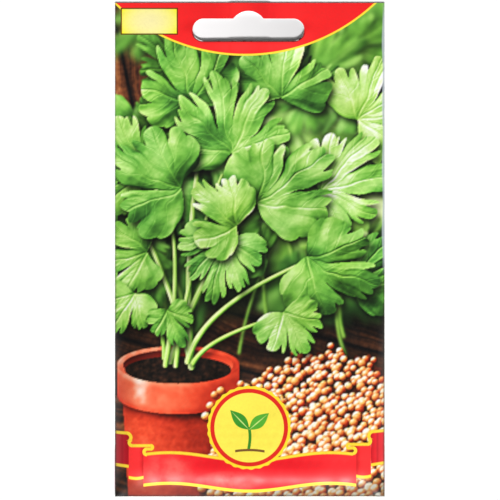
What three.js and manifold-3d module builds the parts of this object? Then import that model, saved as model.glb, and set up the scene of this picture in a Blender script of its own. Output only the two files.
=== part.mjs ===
// A paper seed packet with coriander seeds inside, lying on its back.
// Millimetres. +Z is up and leaves the printed front, +Y runs to the header with the hang slot,
// and +X is to the right as the front is read. The origin is under the middle, on the surface it lies on.
// The packet is one sheet of coated paper: the front panel, two wings folded round the sides
// that lap on the back, and a tab folded round the bottom edge and glued to the wings.

import * as THREE from 'three';
import { mergeVertices } from 'three/addons/utils/BufferGeometryUtils.js';
import Module from 'manifold-3d';

const wasm = await Module();
wasm.setup();

// The packet's outline and its paper
const PACKET_WIDTH = 77.2;
const PACKET_HEIGHT = 141.4;
const PAPER = 0.12; // thickness of the coated paper
const GLUE = 0.08; // thickness of a film of glue between two layers

// The lap of the two wings down the middle of the back
const LAP_WIDTH = 10;
const LAP_RAMP = 1; // where a layer climbs over the raw edge under it
const LAP_CLEARANCE = 0.2; // from that raw edge to the foot of the climb

// The tab that closes the bottom
const TAB_DEPTH = 13;
const TAB_INSET = 2; // in from the packet's side at the fold
const TAB_TAPER = 0.09; // how much narrower the tab is at its raw edge, as a share
const TAB_RAMP = 2; // where the wings come down past the tab's raw edge

// The hang slot, a standard euro slot punched through the header
const SLOT_LENGTH = 32;
const SLOT_WIDTH = 6.3;
const SLOT_BOTTOM = 10.8; // down from the packet's top edge
const SLOT_SHIFT = -0.4; // punched a little left of the middle
const BUMP_RISE = 2.2;
const BUMP_RADIUS = 5.3;
const PUNCH_DEPTH = 6; // well through all the layers

// The swelling of the front over the seeds
const FRONT_RISE = 4.4; // above the header's level
const SIDE_SHOULDER = 7; // from a side fold to full height, beside the seeds
const HEADER_SHOULDER = 30; // the same where the front runs out flat at the header
const BOTTOM_SHOULDER = 8; // from the bottom fold to full height
const SWELL_TOP = 29; // where the front starts to fall, up from the bottom edge
const SWELL_END = 116; // where it is flat again
const RIDGE_START = 100; // where the lap on the back starts to show through the front
const RIDGE_FULL = 112;
const FOLD_STACK = 0.25; // extra height at the bottom fold for the lapped layers inside it

// The seeds, one loose layer that has slid down to the bottom
const SEED_COUNT = 130;
const SEED_DIAMETER = 3.3;
const SEED_VARIATION = 0.07;
const SEED_CONTACT = 0.89; // how close touching seeds lie, as a share of their two radii
const SEED_MARGIN = 7.5; // clear of the side folds
const SEED_FLOOR = 9; // clear of the bottom fold
const SEED_REST = 0.3; // a seed's gap to the paper it lies on
const SEED_SCATTER = 40; // height that they start scattered over
const SETTLE_STEPS = 900;
const SETTLE_SLIDE = 0.06; // in the first step
const SETTLE_STIFFNESS = 0.3; // share of an overlap that each of two seeds gives way by in a step
const SEED_DRAW = 20407;
const BALL_SWELLING = 1.07; // a twenty-sided ball's corners stand out of a round seed by this

// The films of glue, the last of which closes the packet under the slot
const GLUE_MARGIN = 1; // from a film's edge to the edge of the paper that it holds
const TOP_GLUE_DEPTH = 7;
const TOP_GLUE_DROP = 14; // from the packet's top edge to the film's upper edge
const TOP_GLUE_LENGTH = 68;
const SLOPE_CLEARANCE = 0.1;

const LAYER = PAPER + GLUE;
const HALF_WIDTH = PACKET_WIDTH / 2;
const HALF_HEIGHT = PACKET_HEIGHT / 2;
const FOLD_RADIUS = LAYER / 2; // of the paper's middle in a side fold
const FOLD_EDGE = 0.54 * PAPER; // from the fold's outside to the paper's middle
const BOTTOM_RADIUS = (2 * LAYER + FOLD_STACK) / 2;
const ROW_PITCH = 7; // between the rows of points up the packet's middle
const LEFT_WING_POINTS = 5; // in a row of the sheet, before the front's stations

function easeBetween(low, high, value) {
  const share = THREE.MathUtils.clamp((value - low) / (high - low), 0, 1);
  return share * share * (3 - 2 * share);
}

// A curve that leaves zero at a slope and lands level on one, as paper does beside a fold.
function shoulder(distance, width) {
  const share = Math.min(distance / width, 1);
  return 1 - (1 - share) * (1 - share);
}

// How far the wings are lifted by the tab under them, at a height up the packet.
function wingLift(up) {
  const past = (up - TAB_DEPTH - LAP_CLEARANCE) / TAB_RAMP;
  return LAYER * (1 - THREE.MathUtils.clamp(past, 0, 1));
}

// Height of the middle of the front panel's paper.
function frontHeight(x, up) {
  const atFold = wingLift(up) + PAPER / 2 + LAYER;
  const fromSide = HALF_WIDTH - FOLD_EDGE - FOLD_RADIUS - Math.abs(x);
  const falling = easeBetween(SWELL_TOP, SWELL_END, up);
  const along = shoulder(up - FOLD_EDGE - BOTTOM_RADIUS, BOTTOM_SHOULDER) * (1 - falling);
  const across = shoulder(fromSide, THREE.MathUtils.lerp(SIDE_SHOULDER, HEADER_SHOULDER, falling));
  const inHeader = easeBetween(RIDGE_START, RIDGE_FULL, up);
  const overLap = (LAP_WIDTH / 2 + LAP_CLEARANCE + LAP_RAMP - Math.abs(x)) / LAP_RAMP;
  const ridge = LAYER * THREE.MathUtils.clamp(overLap, 0, 1) * inHeader;
  const stack = FOLD_STACK * shoulder(fromSide, TAB_INSET) * (1 - inHeader) * (1 - falling);
  return atFold + ridge + stack + (FRONT_RISE - FOLD_STACK) * along * across;
}

// The stations across the front, from left to right, closer together at the sides and at the lap.
function frontStations() {
  const edge = HALF_WIDTH - FOLD_EDGE - FOLD_RADIUS;
  const lapFoot = LAP_WIDTH / 2 + LAP_CLEARANCE;
  const onShoulder = [0, 0.1, 0.5, 0.75, 1, 2, 3].map((share) => share * SIDE_SHOULDER);
  const fromSide = [...onShoulder, TAB_INSET].sort((a, b) => b - a);
  const right = [lapFoot, lapFoot + LAP_RAMP, ...fromSide.map((inset) => edge - inset)];
  return [...right.map((x) => -x).reverse(), 0, ...right];
}

// The rows up the packet, closer together at the bottom fold, the tab's edge and the header.
function rows() {
  const foldTop = FOLD_EDGE + BOTTOM_RADIUS;
  const tabEdge = TAB_DEPTH + LAP_CLEARANCE;
  const onShoulder = [0, 0.1, 0.25, 0.5, 0.75, 1].map((share) => foldTop + share * BOTTOM_SHOULDER);
  const low = [...onShoulder, tabEdge, tabEdge + TAB_RAMP];
  const middle = [];
  for (let up = tabEdge + TAB_RAMP + ROW_PITCH; up < RIDGE_FULL - ROW_PITCH; up += ROW_PITCH) {
    middle.push(up);
  }
  return [...low, ...middle, RIDGE_FULL, SWELL_END, PACKET_HEIGHT];
}

// The middle of the paper in one row: the left wing, the front and the right wing.
function rowPoints(up) {
  const lift = wingLift(up);
  const outer = lift + PAPER / 2;
  const inner = outer + LAYER;
  const lapFoot = LAP_WIDTH / 2 + LAP_CLEARANCE;
  const foldX = HALF_WIDTH - FOLD_EDGE;
  const y = up - HALF_HEIGHT;
  const leftWing = [
    [LAP_WIDTH / 2, inner],
    [-lapFoot, inner],
    [-lapFoot - LAP_RAMP, outer],
    [-foldX + FOLD_RADIUS, outer],
    [-foldX, outer + FOLD_RADIUS],
  ];
  const front = frontStations().map((x) => [x, frontHeight(x, up)]);
  const rightWing = [
    [foldX, outer + FOLD_RADIUS],
    [foldX - FOLD_RADIUS, outer],
    [-LAP_WIDTH / 2, outer],
  ];
  return [...leftWing, ...front, ...rightWing].map(([x, z]) => new THREE.Vector3(x, y, z));
}

// The tab's rows, from its raw edge under the wings round to the front's lowest row.
function tabRows(lowestRow) {
  const flat = lowestRow.map((top) => {
    return new THREE.Vector3(top.x * (1 - TAB_TAPER), TAB_DEPTH - HALF_HEIGHT, PAPER / 2);
  });
  const turned = [4, 3, 2, 1].map((eighths) => {
    const turn = (eighths * Math.PI) / 4;
    return lowestRow.map((top) => {
      const radius = (top.z - PAPER / 2) / 2;
      const y = top.y - BOTTOM_RADIUS * Math.sin(turn);
      return new THREE.Vector3(top.x, y, PAPER / 2 + radius * (1 + Math.cos(turn)));
    });
  });
  return [flat, ...turned];
}

// Thickens a grid of points with gaps in it, the middle of a folded sheet, to one closed solid.
// The outside is the side that the columns' direction crossed with the rows' direction gives.
function thickenSheet(grid, thickness) {
  const has = (j, i) => Boolean(grid[j]?.[i]);
  const cell = (j, i) => has(j, i) && has(j, i + 1) && has(j + 1, i) && has(j + 1, i + 1);
  const along = (from, to) => new THREE.Vector3().subVectors(to, from).normalize();
  const sides = (here, before, after) => {
    const found = [];
    if (before) found.push(along(before, here));
    if (after) found.push(along(here, after));
    return found;
  };
  const sum = (vectors) => vectors.reduce((total, v) => total.add(v), new THREE.Vector3());
  const positions = [];
  const outside = grid.map(() => []);
  grid.forEach((row, j) => {
    row.forEach((here, i) => {
      if (!here) return;
      const across = sides(here, grid[j][i - 1], grid[j][i + 1]);
      const up = sides(here, grid[j - 1]?.[i], grid[j + 1]?.[i]);
      const normals = across.flatMap((a) => up.map((b) => a.clone().cross(b).normalize()));
      const offset = sum(normals).normalize();
      const mitre = sum(normals).dot(offset) / normals.length;
      offset.multiplyScalar(thickness / 2 / mitre);
      outside[j][i] = positions.length / 3;
      positions.push(...here.clone().add(offset).toArray(), ...here.clone().sub(offset).toArray());
    });
  });
  const index = [];
  const quad = (a, b, c, d) => index.push(a, b, c, a, c, d);
  for (let j = 0; j < grid.length - 1; j++) {
    for (let i = 0; i < grid[j].length - 1; i++) {
      if (!cell(j, i)) continue;
      const corners = [outside[j][i], outside[j][i + 1], outside[j + 1][i + 1], outside[j + 1][i]];
      const [a, b, c, d] = corners;
      quad(a, b, c, d);
      quad(d + 1, c + 1, b + 1, a + 1);
      if (!cell(j - 1, i)) quad(a, a + 1, b + 1, b);
      if (!cell(j, i + 1)) quad(b, b + 1, c + 1, c);
      if (!cell(j + 1, i)) quad(c, c + 1, d + 1, d);
      if (!cell(j, i - 1)) quad(d, d + 1, a + 1, a);
    }
  }
  const geometry = new THREE.BufferGeometry();
  geometry.setAttribute('position', new THREE.Float32BufferAttribute(positions, 3));
  geometry.setIndex(index);
  return geometry;
}

function toSolid(geometry) {
  const bare = geometry.clone();
  bare.deleteAttribute('normal');
  bare.deleteAttribute('uv');
  const merged = mergeVertices(bare, 1e-5);
  return new wasm.Manifold(
    new wasm.Mesh({
      numProp: 3,
      vertProperties: merged.attributes.position.array,
      triVerts: new Uint32Array(merged.index.array),
    }),
  );
}

function toGeometry(solid) {
  const mesh = solid.getMesh();
  const geometry = new THREE.BufferGeometry();
  geometry.setAttribute('position', new THREE.BufferAttribute(mesh.vertProperties, 3));
  geometry.setIndex(new THREE.BufferAttribute(mesh.triVerts, 1));
  return geometry;
}

// The slot's outline, counter-clockwise: a long hole with round ends and a bump over its middle.
function slotOutline() {
  const endRadius = SLOT_WIDTH / 2;
  const endX = SLOT_LENGTH / 2 - endRadius;
  const middleY = HALF_HEIGHT - SLOT_BOTTOM + endRadius;
  const bumpY = middleY + endRadius + BUMP_RISE - BUMP_RADIUS;
  const bumpFoot = Math.asin((BUMP_RADIUS - BUMP_RISE) / BUMP_RADIUS);
  const points = [];
  const arc = (x, y, radius, from, to, segments) => {
    for (let k = 0; k <= segments; k++) {
      const angle = from + ((to - from) * k) / segments;
      points.push(new THREE.Vector2(x + radius * Math.cos(angle), y + radius * Math.sin(angle)));
    }
  };
  arc(SLOT_SHIFT + endX, middleY, endRadius, -Math.PI / 2, Math.PI / 2, 10);
  arc(SLOT_SHIFT, bumpY, BUMP_RADIUS, bumpFoot, Math.PI - bumpFoot, 7);
  arc(SLOT_SHIFT - endX, middleY, endRadius, Math.PI / 2, (3 * Math.PI) / 2, 10);
  return new THREE.Shape(points);
}

function paperSheet() {
  const grid = rows().map(rowPoints);
  const tabReach = HALF_WIDTH - FOLD_EDGE - FOLD_RADIUS - TAB_INSET;
  const stations = frontStations();
  const skipped = stations.filter((x) => x < -tabReach).length + LEFT_WING_POINTS;
  const taken = stations.filter((x) => Math.abs(x) <= tabReach).length;
  const tab = tabRows(grid[0].slice(skipped, skipped + taken));
  const blanks = new Array(skipped).fill(null);
  const placed = tab.map((row) => [...blanks, ...row]);
  const sheet = toSolid(thickenSheet([...placed, ...grid], PAPER));
  const punch = new THREE.ExtrudeGeometry(slotOutline(), { depth: PUNCH_DEPTH, bevelEnabled: false });
  punch.translate(0, 0, -PUNCH_DEPTH / 2);
  return toGeometry(sheet.subtract(toSolid(punch)));
}

// Glue between the two wings where they lap, from the tab up to the slot.
function seamGlue() {
  const low = TAB_DEPTH + LAP_CLEARANCE + TAB_RAMP + GLUE_MARGIN;
  const high = PACKET_HEIGHT - SLOT_BOTTOM - GLUE_MARGIN;
  const film = new THREE.BoxGeometry(LAP_WIDTH - 2 * GLUE_MARGIN, high - low, GLUE);
  return film.translate(0, (low + high) / 2 - HALF_HEIGHT, PAPER + GLUE / 2);
}

// Glue between the tab and the wings over it.
function tabGlue() {
  const low = 2 * BOTTOM_RADIUS + GLUE_MARGIN;
  const high = TAB_DEPTH - GLUE_MARGIN;
  const length = (PACKET_WIDTH - 2 * TAB_INSET) * (1 - TAB_TAPER) - 4 * GLUE_MARGIN;
  const film = new THREE.BoxGeometry(length, high - low, GLUE);
  return film.translate(0, (low + high) / 2 - HALF_HEIGHT, PAPER + GLUE / 2);
}

// Glue between the front and the wings under the slot. It steps up over the lap with the layers,
// and keeps a little clear of the paper on the slopes.
function topGlue() {
  const end = TOP_GLUE_LENGTH / 2;
  const foot = LAP_WIDTH / 2 + LAP_CLEARANCE;
  const profile = (floor, clear) => [
    [-end, floor],
    [-foot - LAP_RAMP + clear, floor],
    [-foot + clear, floor + LAYER],
    [foot - clear, floor + LAYER],
    [foot + LAP_RAMP - clear, floor],
    [end, floor],
  ];
  const lower = profile(PAPER, -SLOPE_CLEARANCE);
  const upper = profile(LAYER, SLOPE_CLEARANCE).reverse();
  const outline = [...lower, ...upper].map(([x, z]) => new THREE.Vector2(x, z));
  const film = new THREE.ExtrudeGeometry(new THREE.Shape(outline), {
    depth: TOP_GLUE_DEPTH,
    bevelEnabled: false,
  });
  film.rotateX(Math.PI / 2);
  return film.translate(0, HALF_HEIGHT - TOP_GLUE_DROP, 0);
}

// Numbers from 0 to 1 by a linear congruential rule.
function seededDraw(seed) {
  let state = seed;
  return () => {
    state = (Math.imul(1664525, state) + 1013904223) >>> 0;
    return state / 4294967296;
  };
}

// How far a seed is pushed in one step by the seeds that it overlaps.
function pushOn(seed, seeds) {
  const total = { x: 0, up: 0 };
  for (const other of seeds) {
    const dx = seed.x - other.x;
    const dy = seed.up - other.up;
    const apart = SEED_CONTACT * (seed.radius + other.radius);
    const distance = Math.sqrt(dx * dx + dy * dy);
    if (distance === 0 || distance >= apart) continue;
    const push = (SETTLE_STIFFNESS * (apart - distance)) / distance;
    total.x += push * dx;
    total.up += push * dy;
  }
  return total;
}

// Places the seeds: they start scattered, slide towards the bottom and push each other apart.
function placeSeeds(draw) {
  const reach = HALF_WIDTH - SEED_MARGIN;
  const seeds = [];
  for (let n = 0; n < SEED_COUNT; n++) {
    const radius = (SEED_DIAMETER / 2) * (1 + SEED_VARIATION * (2 * draw() - 1));
    seeds.push({ x: reach * (2 * draw() - 1), up: SEED_FLOOR + SEED_SCATTER * draw(), radius });
  }
  for (let step = 0; step < SETTLE_STEPS; step++) {
    const slide = SETTLE_SLIDE * (1 - step / SETTLE_STEPS);
    for (const seed of seeds) seed.up -= slide;
    const pushes = seeds.map((seed) => pushOn(seed, seeds));
    seeds.forEach((seed, n) => {
      seed.x = THREE.MathUtils.clamp(seed.x + pushes[n].x, -reach, reach);
      seed.up = Math.max(seed.up + pushes[n].up, SEED_FLOOR);
    });
  }
  return seeds;
}

// The seeds as one pile, each a twenty-sided ball of a real seed's volume that meets its neighbours.
// They lie on the wings, which the tab lifts at the bottom and the lap in the middle.
function seedPile() {
  const draw = seededDraw(SEED_DRAW);
  const lapReach = LAP_WIDTH / 2 + LAP_CLEARANCE + LAP_RAMP + SEED_DIAMETER / 2;
  const tabReach = TAB_DEPTH + LAP_CLEARANCE + TAB_RAMP + SEED_DIAMETER / 2;
  const balls = placeSeeds(draw).map((seed) => {
    const radius = BALL_SWELLING * seed.radius;
    const ball = new THREE.IcosahedronGeometry(radius, 0);
    ball.rotateX(draw() * Math.PI);
    ball.rotateZ(draw() * Math.PI);
    const lifts = (Math.abs(seed.x) < lapReach ? 1 : 0) + (seed.up < tabReach ? 1 : 0);
    const bed = PAPER + lifts * LAYER;
    ball.translate(seed.x, seed.up - HALF_HEIGHT, bed + SEED_REST + radius);
    return toSolid(ball);
  });
  return toGeometry(balls.reduce((pile, ball) => pile.add(ball)));
}

const printedPaper = new THREE.MeshStandardMaterial({ color: 0x6f8f3a, roughness: 0.35 });
const driedGlue = new THREE.MeshStandardMaterial({ color: 0xe9e4d2, roughness: 0.5 });
const seedHusk = new THREE.MeshStandardMaterial({ color: 0xb98a4e, roughness: 0.8 });

const packet = new THREE.Group();

function addPiece(name, geometry, material) {
  const mesh = new THREE.Mesh(geometry, material);
  mesh.name = name;
  packet.add(mesh);
}

addPiece('paper_sheet', paperSheet(), printedPaper);
addPiece('seam_glue', seamGlue(), driedGlue);
addPiece('tab_glue', tabGlue(), driedGlue);
addPiece('top_glue', topGlue(), driedGlue);
addPiece('seeds', seedPile(), seedHusk);

export default packet;
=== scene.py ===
from math import asin, cos, hypot, pi, radians, sin

import bpy
import numpy as np
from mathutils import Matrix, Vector

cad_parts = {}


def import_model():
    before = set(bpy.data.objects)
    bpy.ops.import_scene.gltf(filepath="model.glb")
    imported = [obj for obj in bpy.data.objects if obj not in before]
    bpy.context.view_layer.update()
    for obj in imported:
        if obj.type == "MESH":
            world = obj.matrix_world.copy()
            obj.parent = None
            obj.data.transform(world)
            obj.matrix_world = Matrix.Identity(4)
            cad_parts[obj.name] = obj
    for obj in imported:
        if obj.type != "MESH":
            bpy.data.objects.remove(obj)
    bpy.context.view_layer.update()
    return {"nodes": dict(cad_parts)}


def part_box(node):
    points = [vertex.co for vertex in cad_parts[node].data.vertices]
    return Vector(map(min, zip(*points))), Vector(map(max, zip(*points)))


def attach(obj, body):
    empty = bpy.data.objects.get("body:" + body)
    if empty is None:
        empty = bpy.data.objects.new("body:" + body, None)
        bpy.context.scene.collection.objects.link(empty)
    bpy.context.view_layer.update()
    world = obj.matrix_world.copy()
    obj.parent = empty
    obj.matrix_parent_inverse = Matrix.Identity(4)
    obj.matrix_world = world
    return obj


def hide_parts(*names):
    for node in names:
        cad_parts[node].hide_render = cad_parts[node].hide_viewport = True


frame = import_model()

# A paper seed packet with coriander seeds inside, lying on its back. Metres, +Z up, +Y to the header.

# Viewpoint
# The packet is seen from straight above, from so far that its front keeps its true shape, with a
# little of the white that it lies on all round.
MM = 0.001
PHOTO_SIDE = 500
PIXEL = 0.2865 * MM  # what one pixel of the photograph covers on the packet
MIDDLE_PIXEL = (249.85, 249.73)  # where the middle of the packet's outline is in the photograph
VIEW_DISTANCE = 1.5
VIEW_REACH = 10
SENSOR = 36


def add_object(name, data):
    """A new object in the scene, at the origin."""
    made = bpy.data.objects.new(name, data)
    bpy.context.scene.collection.objects.link(made)
    return made


lens = bpy.data.cameras.new("viewpoint")
lens.sensor_width = SENSOR
lens.lens = SENSOR * VIEW_DISTANCE / (PHOTO_SIDE * PIXEL)
lens.clip_end = VIEW_REACH
viewpoint = add_object("viewpoint", lens)
off_right, off_down = (PHOTO_SIDE / 2 - pixel for pixel in MIDDLE_PIXEL)
viewpoint.location = (off_right * PIXEL, -off_down * PIXEL, VIEW_DISTANCE)
bpy.context.scene.camera = viewpoint
bpy.context.scene.view_settings.view_transform = "Standard"

# Light
# A half ring of soft light high up past the bottom edge, with a dark middle, so that the flat gloss
# of the print mirrors nothing bright, and a lamp in front of it, which draws the slot's edge and the
# swelling. The horizon is bright all round.
RING_LIGHT = 1.4
RING_LOW, RING_HIGH = 0.5, 0.87  # sines of heights in the sky, as the other places in it are
RING_END = -0.25  # how far past the packet's middle it reaches, from -1 in front to 1 behind
RING_FADE = 0.4
RING_BEHIND = 0.05  # its share past the header
SIDE_LIGHT = 0.12
OVERHEAD_LIGHT = 0.08
OVERHEAD_LOW = 0.9
HORIZON_LIGHT = 1.0
HORIZON_HIGH = 0.08
SKY_FADE, HORIZON_FADE = 0.12, 0.06
LAMP_HEIGHT = radians(38)
LAMP_TURN = radians(12)  # from straight below the packet, to the right
LAMP_SPREAD = radians(12)
LAMP_STRENGTH = 3.8


class Ink:
    """A socket of a node tree, so that maths on what it carries is written as an expression."""

    def __init__(self, tree, socket=None):
        self.tree = tree
        self.socket = socket

    def node(self, kind, settings=None, inputs=None, output=0):
        """Adds a node: its settings are set first, then its inputs by name or place, from values or links."""
        made = self.tree.nodes.new(kind)
        for name, value in (settings or {}).items():
            setattr(made, name, value)
        for name, value in (inputs or {}).items():
            if isinstance(value, Ink):
                self.tree.links.new(value.socket, made.inputs[name])
            else:
                made.inputs[name].default_value = value
        return Ink(self.tree, made.outputs[output] if made.outputs else None)

    def beside(self, output):
        """Another output of the node that this one comes from."""
        return Ink(self.tree, self.socket.node.outputs[output])

    def maths(self, operation, *values):
        return self.node("ShaderNodeMath", {"operation": operation}, dict(enumerate(values)))

    def __add__(self, other):
        return self.maths("ADD", self, other)

    __radd__ = __add__

    def __sub__(self, other):
        return self.maths("SUBTRACT", self, other)

    def __rsub__(self, other):
        return self.maths("SUBTRACT", other, self)

    def __mul__(self, other):
        return self.maths("MULTIPLY", self, other)

    __rmul__ = __mul__

    def __truediv__(self, other):
        return self.maths("DIVIDE", self, other)

    def __pow__(self, other):
        return self.maths("POWER", self, other)

    def __abs__(self):
        return self.maths("ABSOLUTE", self)

    def wave(self):
        return self.maths("SINE", self)

    def larger(self, other):
        return self.maths("MAXIMUM", self, other)

    def held(self):
        """The value kept between 0 and 1."""
        return self.node("ShaderNodeMath", {"operation": "ADD", "use_clamp": True}, {0: self, 1: 0.0})

    def over(self, edge, softness):
        """Rises from 0 to 1 where the value passes the edge."""
        return ((self - edge) / softness + 0.5).held()

    def under(self, edge, softness):
        return 1 - self.over(edge, softness)

    def between(self, low, high, softness):
        return self.over(low, softness) * self.under(high, softness)

    def mix(self, start, end):
        """From the colour start to the colour end, as this value goes from 0 to 1."""
        settings = {"data_type": "RGBA"}
        return self.node("ShaderNodeMix", settings, {0: self, 6: start, 7: end}, output=2)

    def noise(self, scale, detail=2.0, roughness=0.5):
        """Noise at the places that this one carries."""
        inputs = {"Vector": self, "Scale": scale, "Detail": detail, "Roughness": roughness}
        return self.node("ShaderNodeTexNoise", {}, inputs)

    def bump(self, strength, distance):
        """A normal for a surface that this value lifts."""
        inputs = {"Strength": strength, "Distance": distance, "Height": self}
        return self.node("ShaderNodeBump", {}, inputs)


sky = bpy.data.worlds.new("studio")
bpy.context.scene.world = sky
sky.use_nodes = True
sky.node_tree.nodes.clear()
direction = Ink(sky.node_tree).node("ShaderNodeTexCoord", output="Generated")
upward = direction.node("ShaderNodeSeparateXYZ", {}, {0: direction}, output="Z")
ring_share = RING_BEHIND + upward.beside("Y").under(RING_END, RING_FADE) * (1 - RING_BEHIND)
in_ring = upward.between(RING_LOW, RING_HIGH, SKY_FADE)
strength = SIDE_LIGHT + in_ring * (ring_share * RING_LIGHT - SIDE_LIGHT)
strength = strength + upward.over(OVERHEAD_LOW, SKY_FADE) * (OVERHEAD_LIGHT - SIDE_LIGHT)
strength = strength + upward.under(HORIZON_HIGH, HORIZON_FADE) * (HORIZON_LIGHT - SIDE_LIGHT)
shining = upward.node("ShaderNodeBackground", {}, {"Color": (1, 1, 1, 1), "Strength": strength})
upward.node("ShaderNodeOutputWorld", {}, {"Surface": shining})

lamp_light = bpy.data.lights.new("lamp", "SUN")
lamp_light.energy = LAMP_STRENGTH
lamp_light.angle = LAMP_SPREAD
lamp = add_object("lamp", lamp_light)
lamp.rotation_euler = (pi / 2 - LAMP_HEIGHT, 0, LAMP_TURN)

# Floor
# A plain white table top, not part of the packet. Where the packet covers it, it has painted shade,
# greyer from left to right, which shows through the hang slot.
FLOOR_SIDE = 3.0
FLOOR_DROP = 0.02 * MM
FLOOR_WHITE = (0.97, 0.97, 0.97, 1)
LEFT_PAINTED_SHADE, RIGHT_PAINTED_SHADE = (0.92, 0.90, 0.90, 1), (0.70, 0.69, 0.69, 1)
PAINTED_SHADE_SPREAD = 30 * MM
COVERED_SIDE, COVERED_LOW, COVERED_HIGH = 34 * MM, -66 * MM, 67.5 * MM
COVERED_SIDE_FADE, COVERED_END_FADE = 4 * MM, 2 * MM


def start_material(name):
    """An empty material, and ink that carries the places on the piece, to make its nodes with."""
    material = bpy.data.materials.new(name)
    material.use_nodes = True
    material.node_tree.nodes.clear()
    return material, Ink(material.node_tree).node("ShaderNodeTexCoord", output="Object")


def give_finish(ink, sockets):
    """Gives a material its one shader, with sockets from values or links."""
    shader = ink.node("ShaderNodeBsdfPrincipled", {}, sockets)
    ink.node("ShaderNodeOutputMaterial", {}, {"Surface": shader})


def new_mesh(name, points, faces):
    mesh = bpy.data.meshes.new(name)
    mesh.from_pydata(points, [], faces)
    return mesh


table_top, where = start_material("table_top")
table_x = where.node("ShaderNodeSeparateXYZ", {}, {0: where}, output="X")
covered = table_x.between(-COVERED_SIDE, COVERED_SIDE, COVERED_SIDE_FADE)
covered = covered * table_x.beside("Y").between(COVERED_LOW, COVERED_HIGH, COVERED_END_FADE)
# painted shade on the table under the packet, greyer towards the right
painted_shade_under_packet = (table_x / PAINTED_SHADE_SPREAD + 0.5).held().mix(LEFT_PAINTED_SHADE, RIGHT_PAINTED_SHADE)
table_colour = covered.mix(FLOOR_WHITE, painted_shade_under_packet)
give_finish(where, {"Base Color": table_colour, "Roughness": 0.9, "Specular IOR Level": 0.1})
half = FLOOR_SIDE / 2
floor_corners = [(-half, -half), (half, -half), (half, half), (-half, half)]
floor_mesh = new_mesh("floor", [(x, y, -FLOOR_DROP) for x, y in floor_corners], [(0, 1, 2, 3)])
floor_mesh.materials.append(table_top)
floor = add_object("floor", floor_mesh)

# The packet's sheet
# One sheet of coated paper is the whole packet: the front, two wings folded round the sides that lap
# on the back, and a tab folded round the bottom edge. These are its sizes, and how it swells.
sheet_low, sheet_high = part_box("paper_sheet")
HALF_WIDTH = (sheet_high[0] - sheet_low[0]) / 2 - 0.02 * MM
HALF_HEIGHT = (sheet_high[1] - sheet_low[1]) / 2
PACKET_HEIGHT = 2 * HALF_HEIGHT
PAPER = 0.12 * MM
GLUE = 0.08 * MM
LAYER = PAPER + GLUE
LAP_WIDTH = 10 * MM
LAP_RAMP = 1 * MM
LAP_CLEARANCE = 0.2 * MM
TAB_DEPTH = 13 * MM
TAB_INSET = 2 * MM
TAB_TAPER = 0.09
TAB_RAMP = 2 * MM
TAB_FADE = 14 * MM  # over this the front loses the step that the tab makes in the wings
FRONT_RISE = 4.4 * MM
SIDE_SHOULDER = 7 * MM
HEADER_SHOULDER = 30 * MM
BOTTOM_SHOULDER = 8 * MM
SWELL_TOP = 29 * MM
SWELL_END = 116 * MM
RIDGE_START = 100 * MM
RIDGE_FULL = 112 * MM
FOLD_STACK = 0.25 * MM
FOLD_RADIUS = LAYER / 2
FOLD_EDGE = 0.54 * PAPER
BOTTOM_RADIUS = (2 * LAYER + FOLD_STACK) / 2
SLOT_LENGTH = 32 * MM
SLOT_WIDTH = 6.3 * MM
SLOT_BOTTOM = 10.8 * MM
SLOT_SHIFT = -0.4 * MM
BUMP_RISE = 2.2 * MM
BUMP_RADIUS = 5.3 * MM


def held(value):
    return np.clip(value, 0, 1)


def ease(low, high, value):
    share = held((value - low) / (high - low))
    return share * share * (3 - 2 * share)


def shoulder(distance, width):
    """Leaves zero at a slope and lands level on one, as paper does beside a fold."""
    share = np.minimum(distance / width, 1)
    return 1 - (1 - share) ** 2


def wing_lift(up):
    """How far the tab under the wings lifts them."""
    return LAYER * (1 - held((up - TAB_DEPTH - LAP_CLEARANCE) / TAB_RAMP))


def front_height(x, up):
    """Height of the middle of the front's paper."""
    from_side = HALF_WIDTH - FOLD_EDGE - FOLD_RADIUS - np.abs(x)
    past_tab = LAYER * (1 - ease(TAB_DEPTH, TAB_DEPTH + TAB_FADE, up)) - wing_lift(up)
    at_fold = wing_lift(up) + past_tab * shoulder(from_side, SIDE_SHOULDER) + PAPER / 2 + LAYER
    falling = ease(SWELL_TOP, SWELL_END, up)
    along = shoulder(up - FOLD_EDGE - BOTTOM_RADIUS, BOTTOM_SHOULDER) * (1 - falling)
    across = shoulder(from_side, SIDE_SHOULDER + (HEADER_SHOULDER - SIDE_SHOULDER) * falling)
    in_header = ease(RIDGE_START, RIDGE_FULL, up)
    over_lap = held((LAP_WIDTH / 2 + LAP_CLEARANCE + LAP_RAMP - np.abs(x)) / LAP_RAMP)
    stack = FOLD_STACK * shoulder(from_side, TAB_INSET) * (1 - in_header) * (1 - falling)
    return at_fold + LAYER * over_lap * in_header + stack + (FRONT_RISE - FOLD_STACK) * along * across


# Seeds
# A hundred and thirty ripe coriander fruits, dry ribbed balls, lie loose inside in one layer that has
# slid to the bottom. Each starts at a drawn place, slides down and is pushed clear of its neighbours.
SEED_COUNT = 130
SEED_DIAMETER = 3.3 * MM
SEED_VARIATION = 0.07
SEED_CONTACT = 0.89
SEED_MARGIN = 7.5 * MM
SEED_FLOOR = 9 * MM
SEED_REST = 0.3 * MM
SEED_SCATTER = 40 * MM
SETTLE_STEPS = 900
SETTLE_SLIDE = 0.06 * MM
SETTLE_STIFFNESS = 0.3
SEED_DRAW = 20407
BALL_SWELLING = 1.07
SEED_RIBS = 10
SEED_RIB_DEPTH = 0.05
SEED_RINGS = 8
HUSK_SHADED, HUSK_TAN, HUSK_WORN = (0.30, 0.13, 0.045, 1), (0.52, 0.32, 0.14, 1), (0.70, 0.52, 0.30, 1)
seed_reach = HALF_WIDTH - SEED_MARGIN


def drawn_numbers(state):
    """Numbers from 0 to 1 by the rule that the solids' seeds are drawn with, so that these lie there too."""
    while True:
        state = (1664525 * state + 1013904223) % 2**32
        yield state / 2**32


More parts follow.
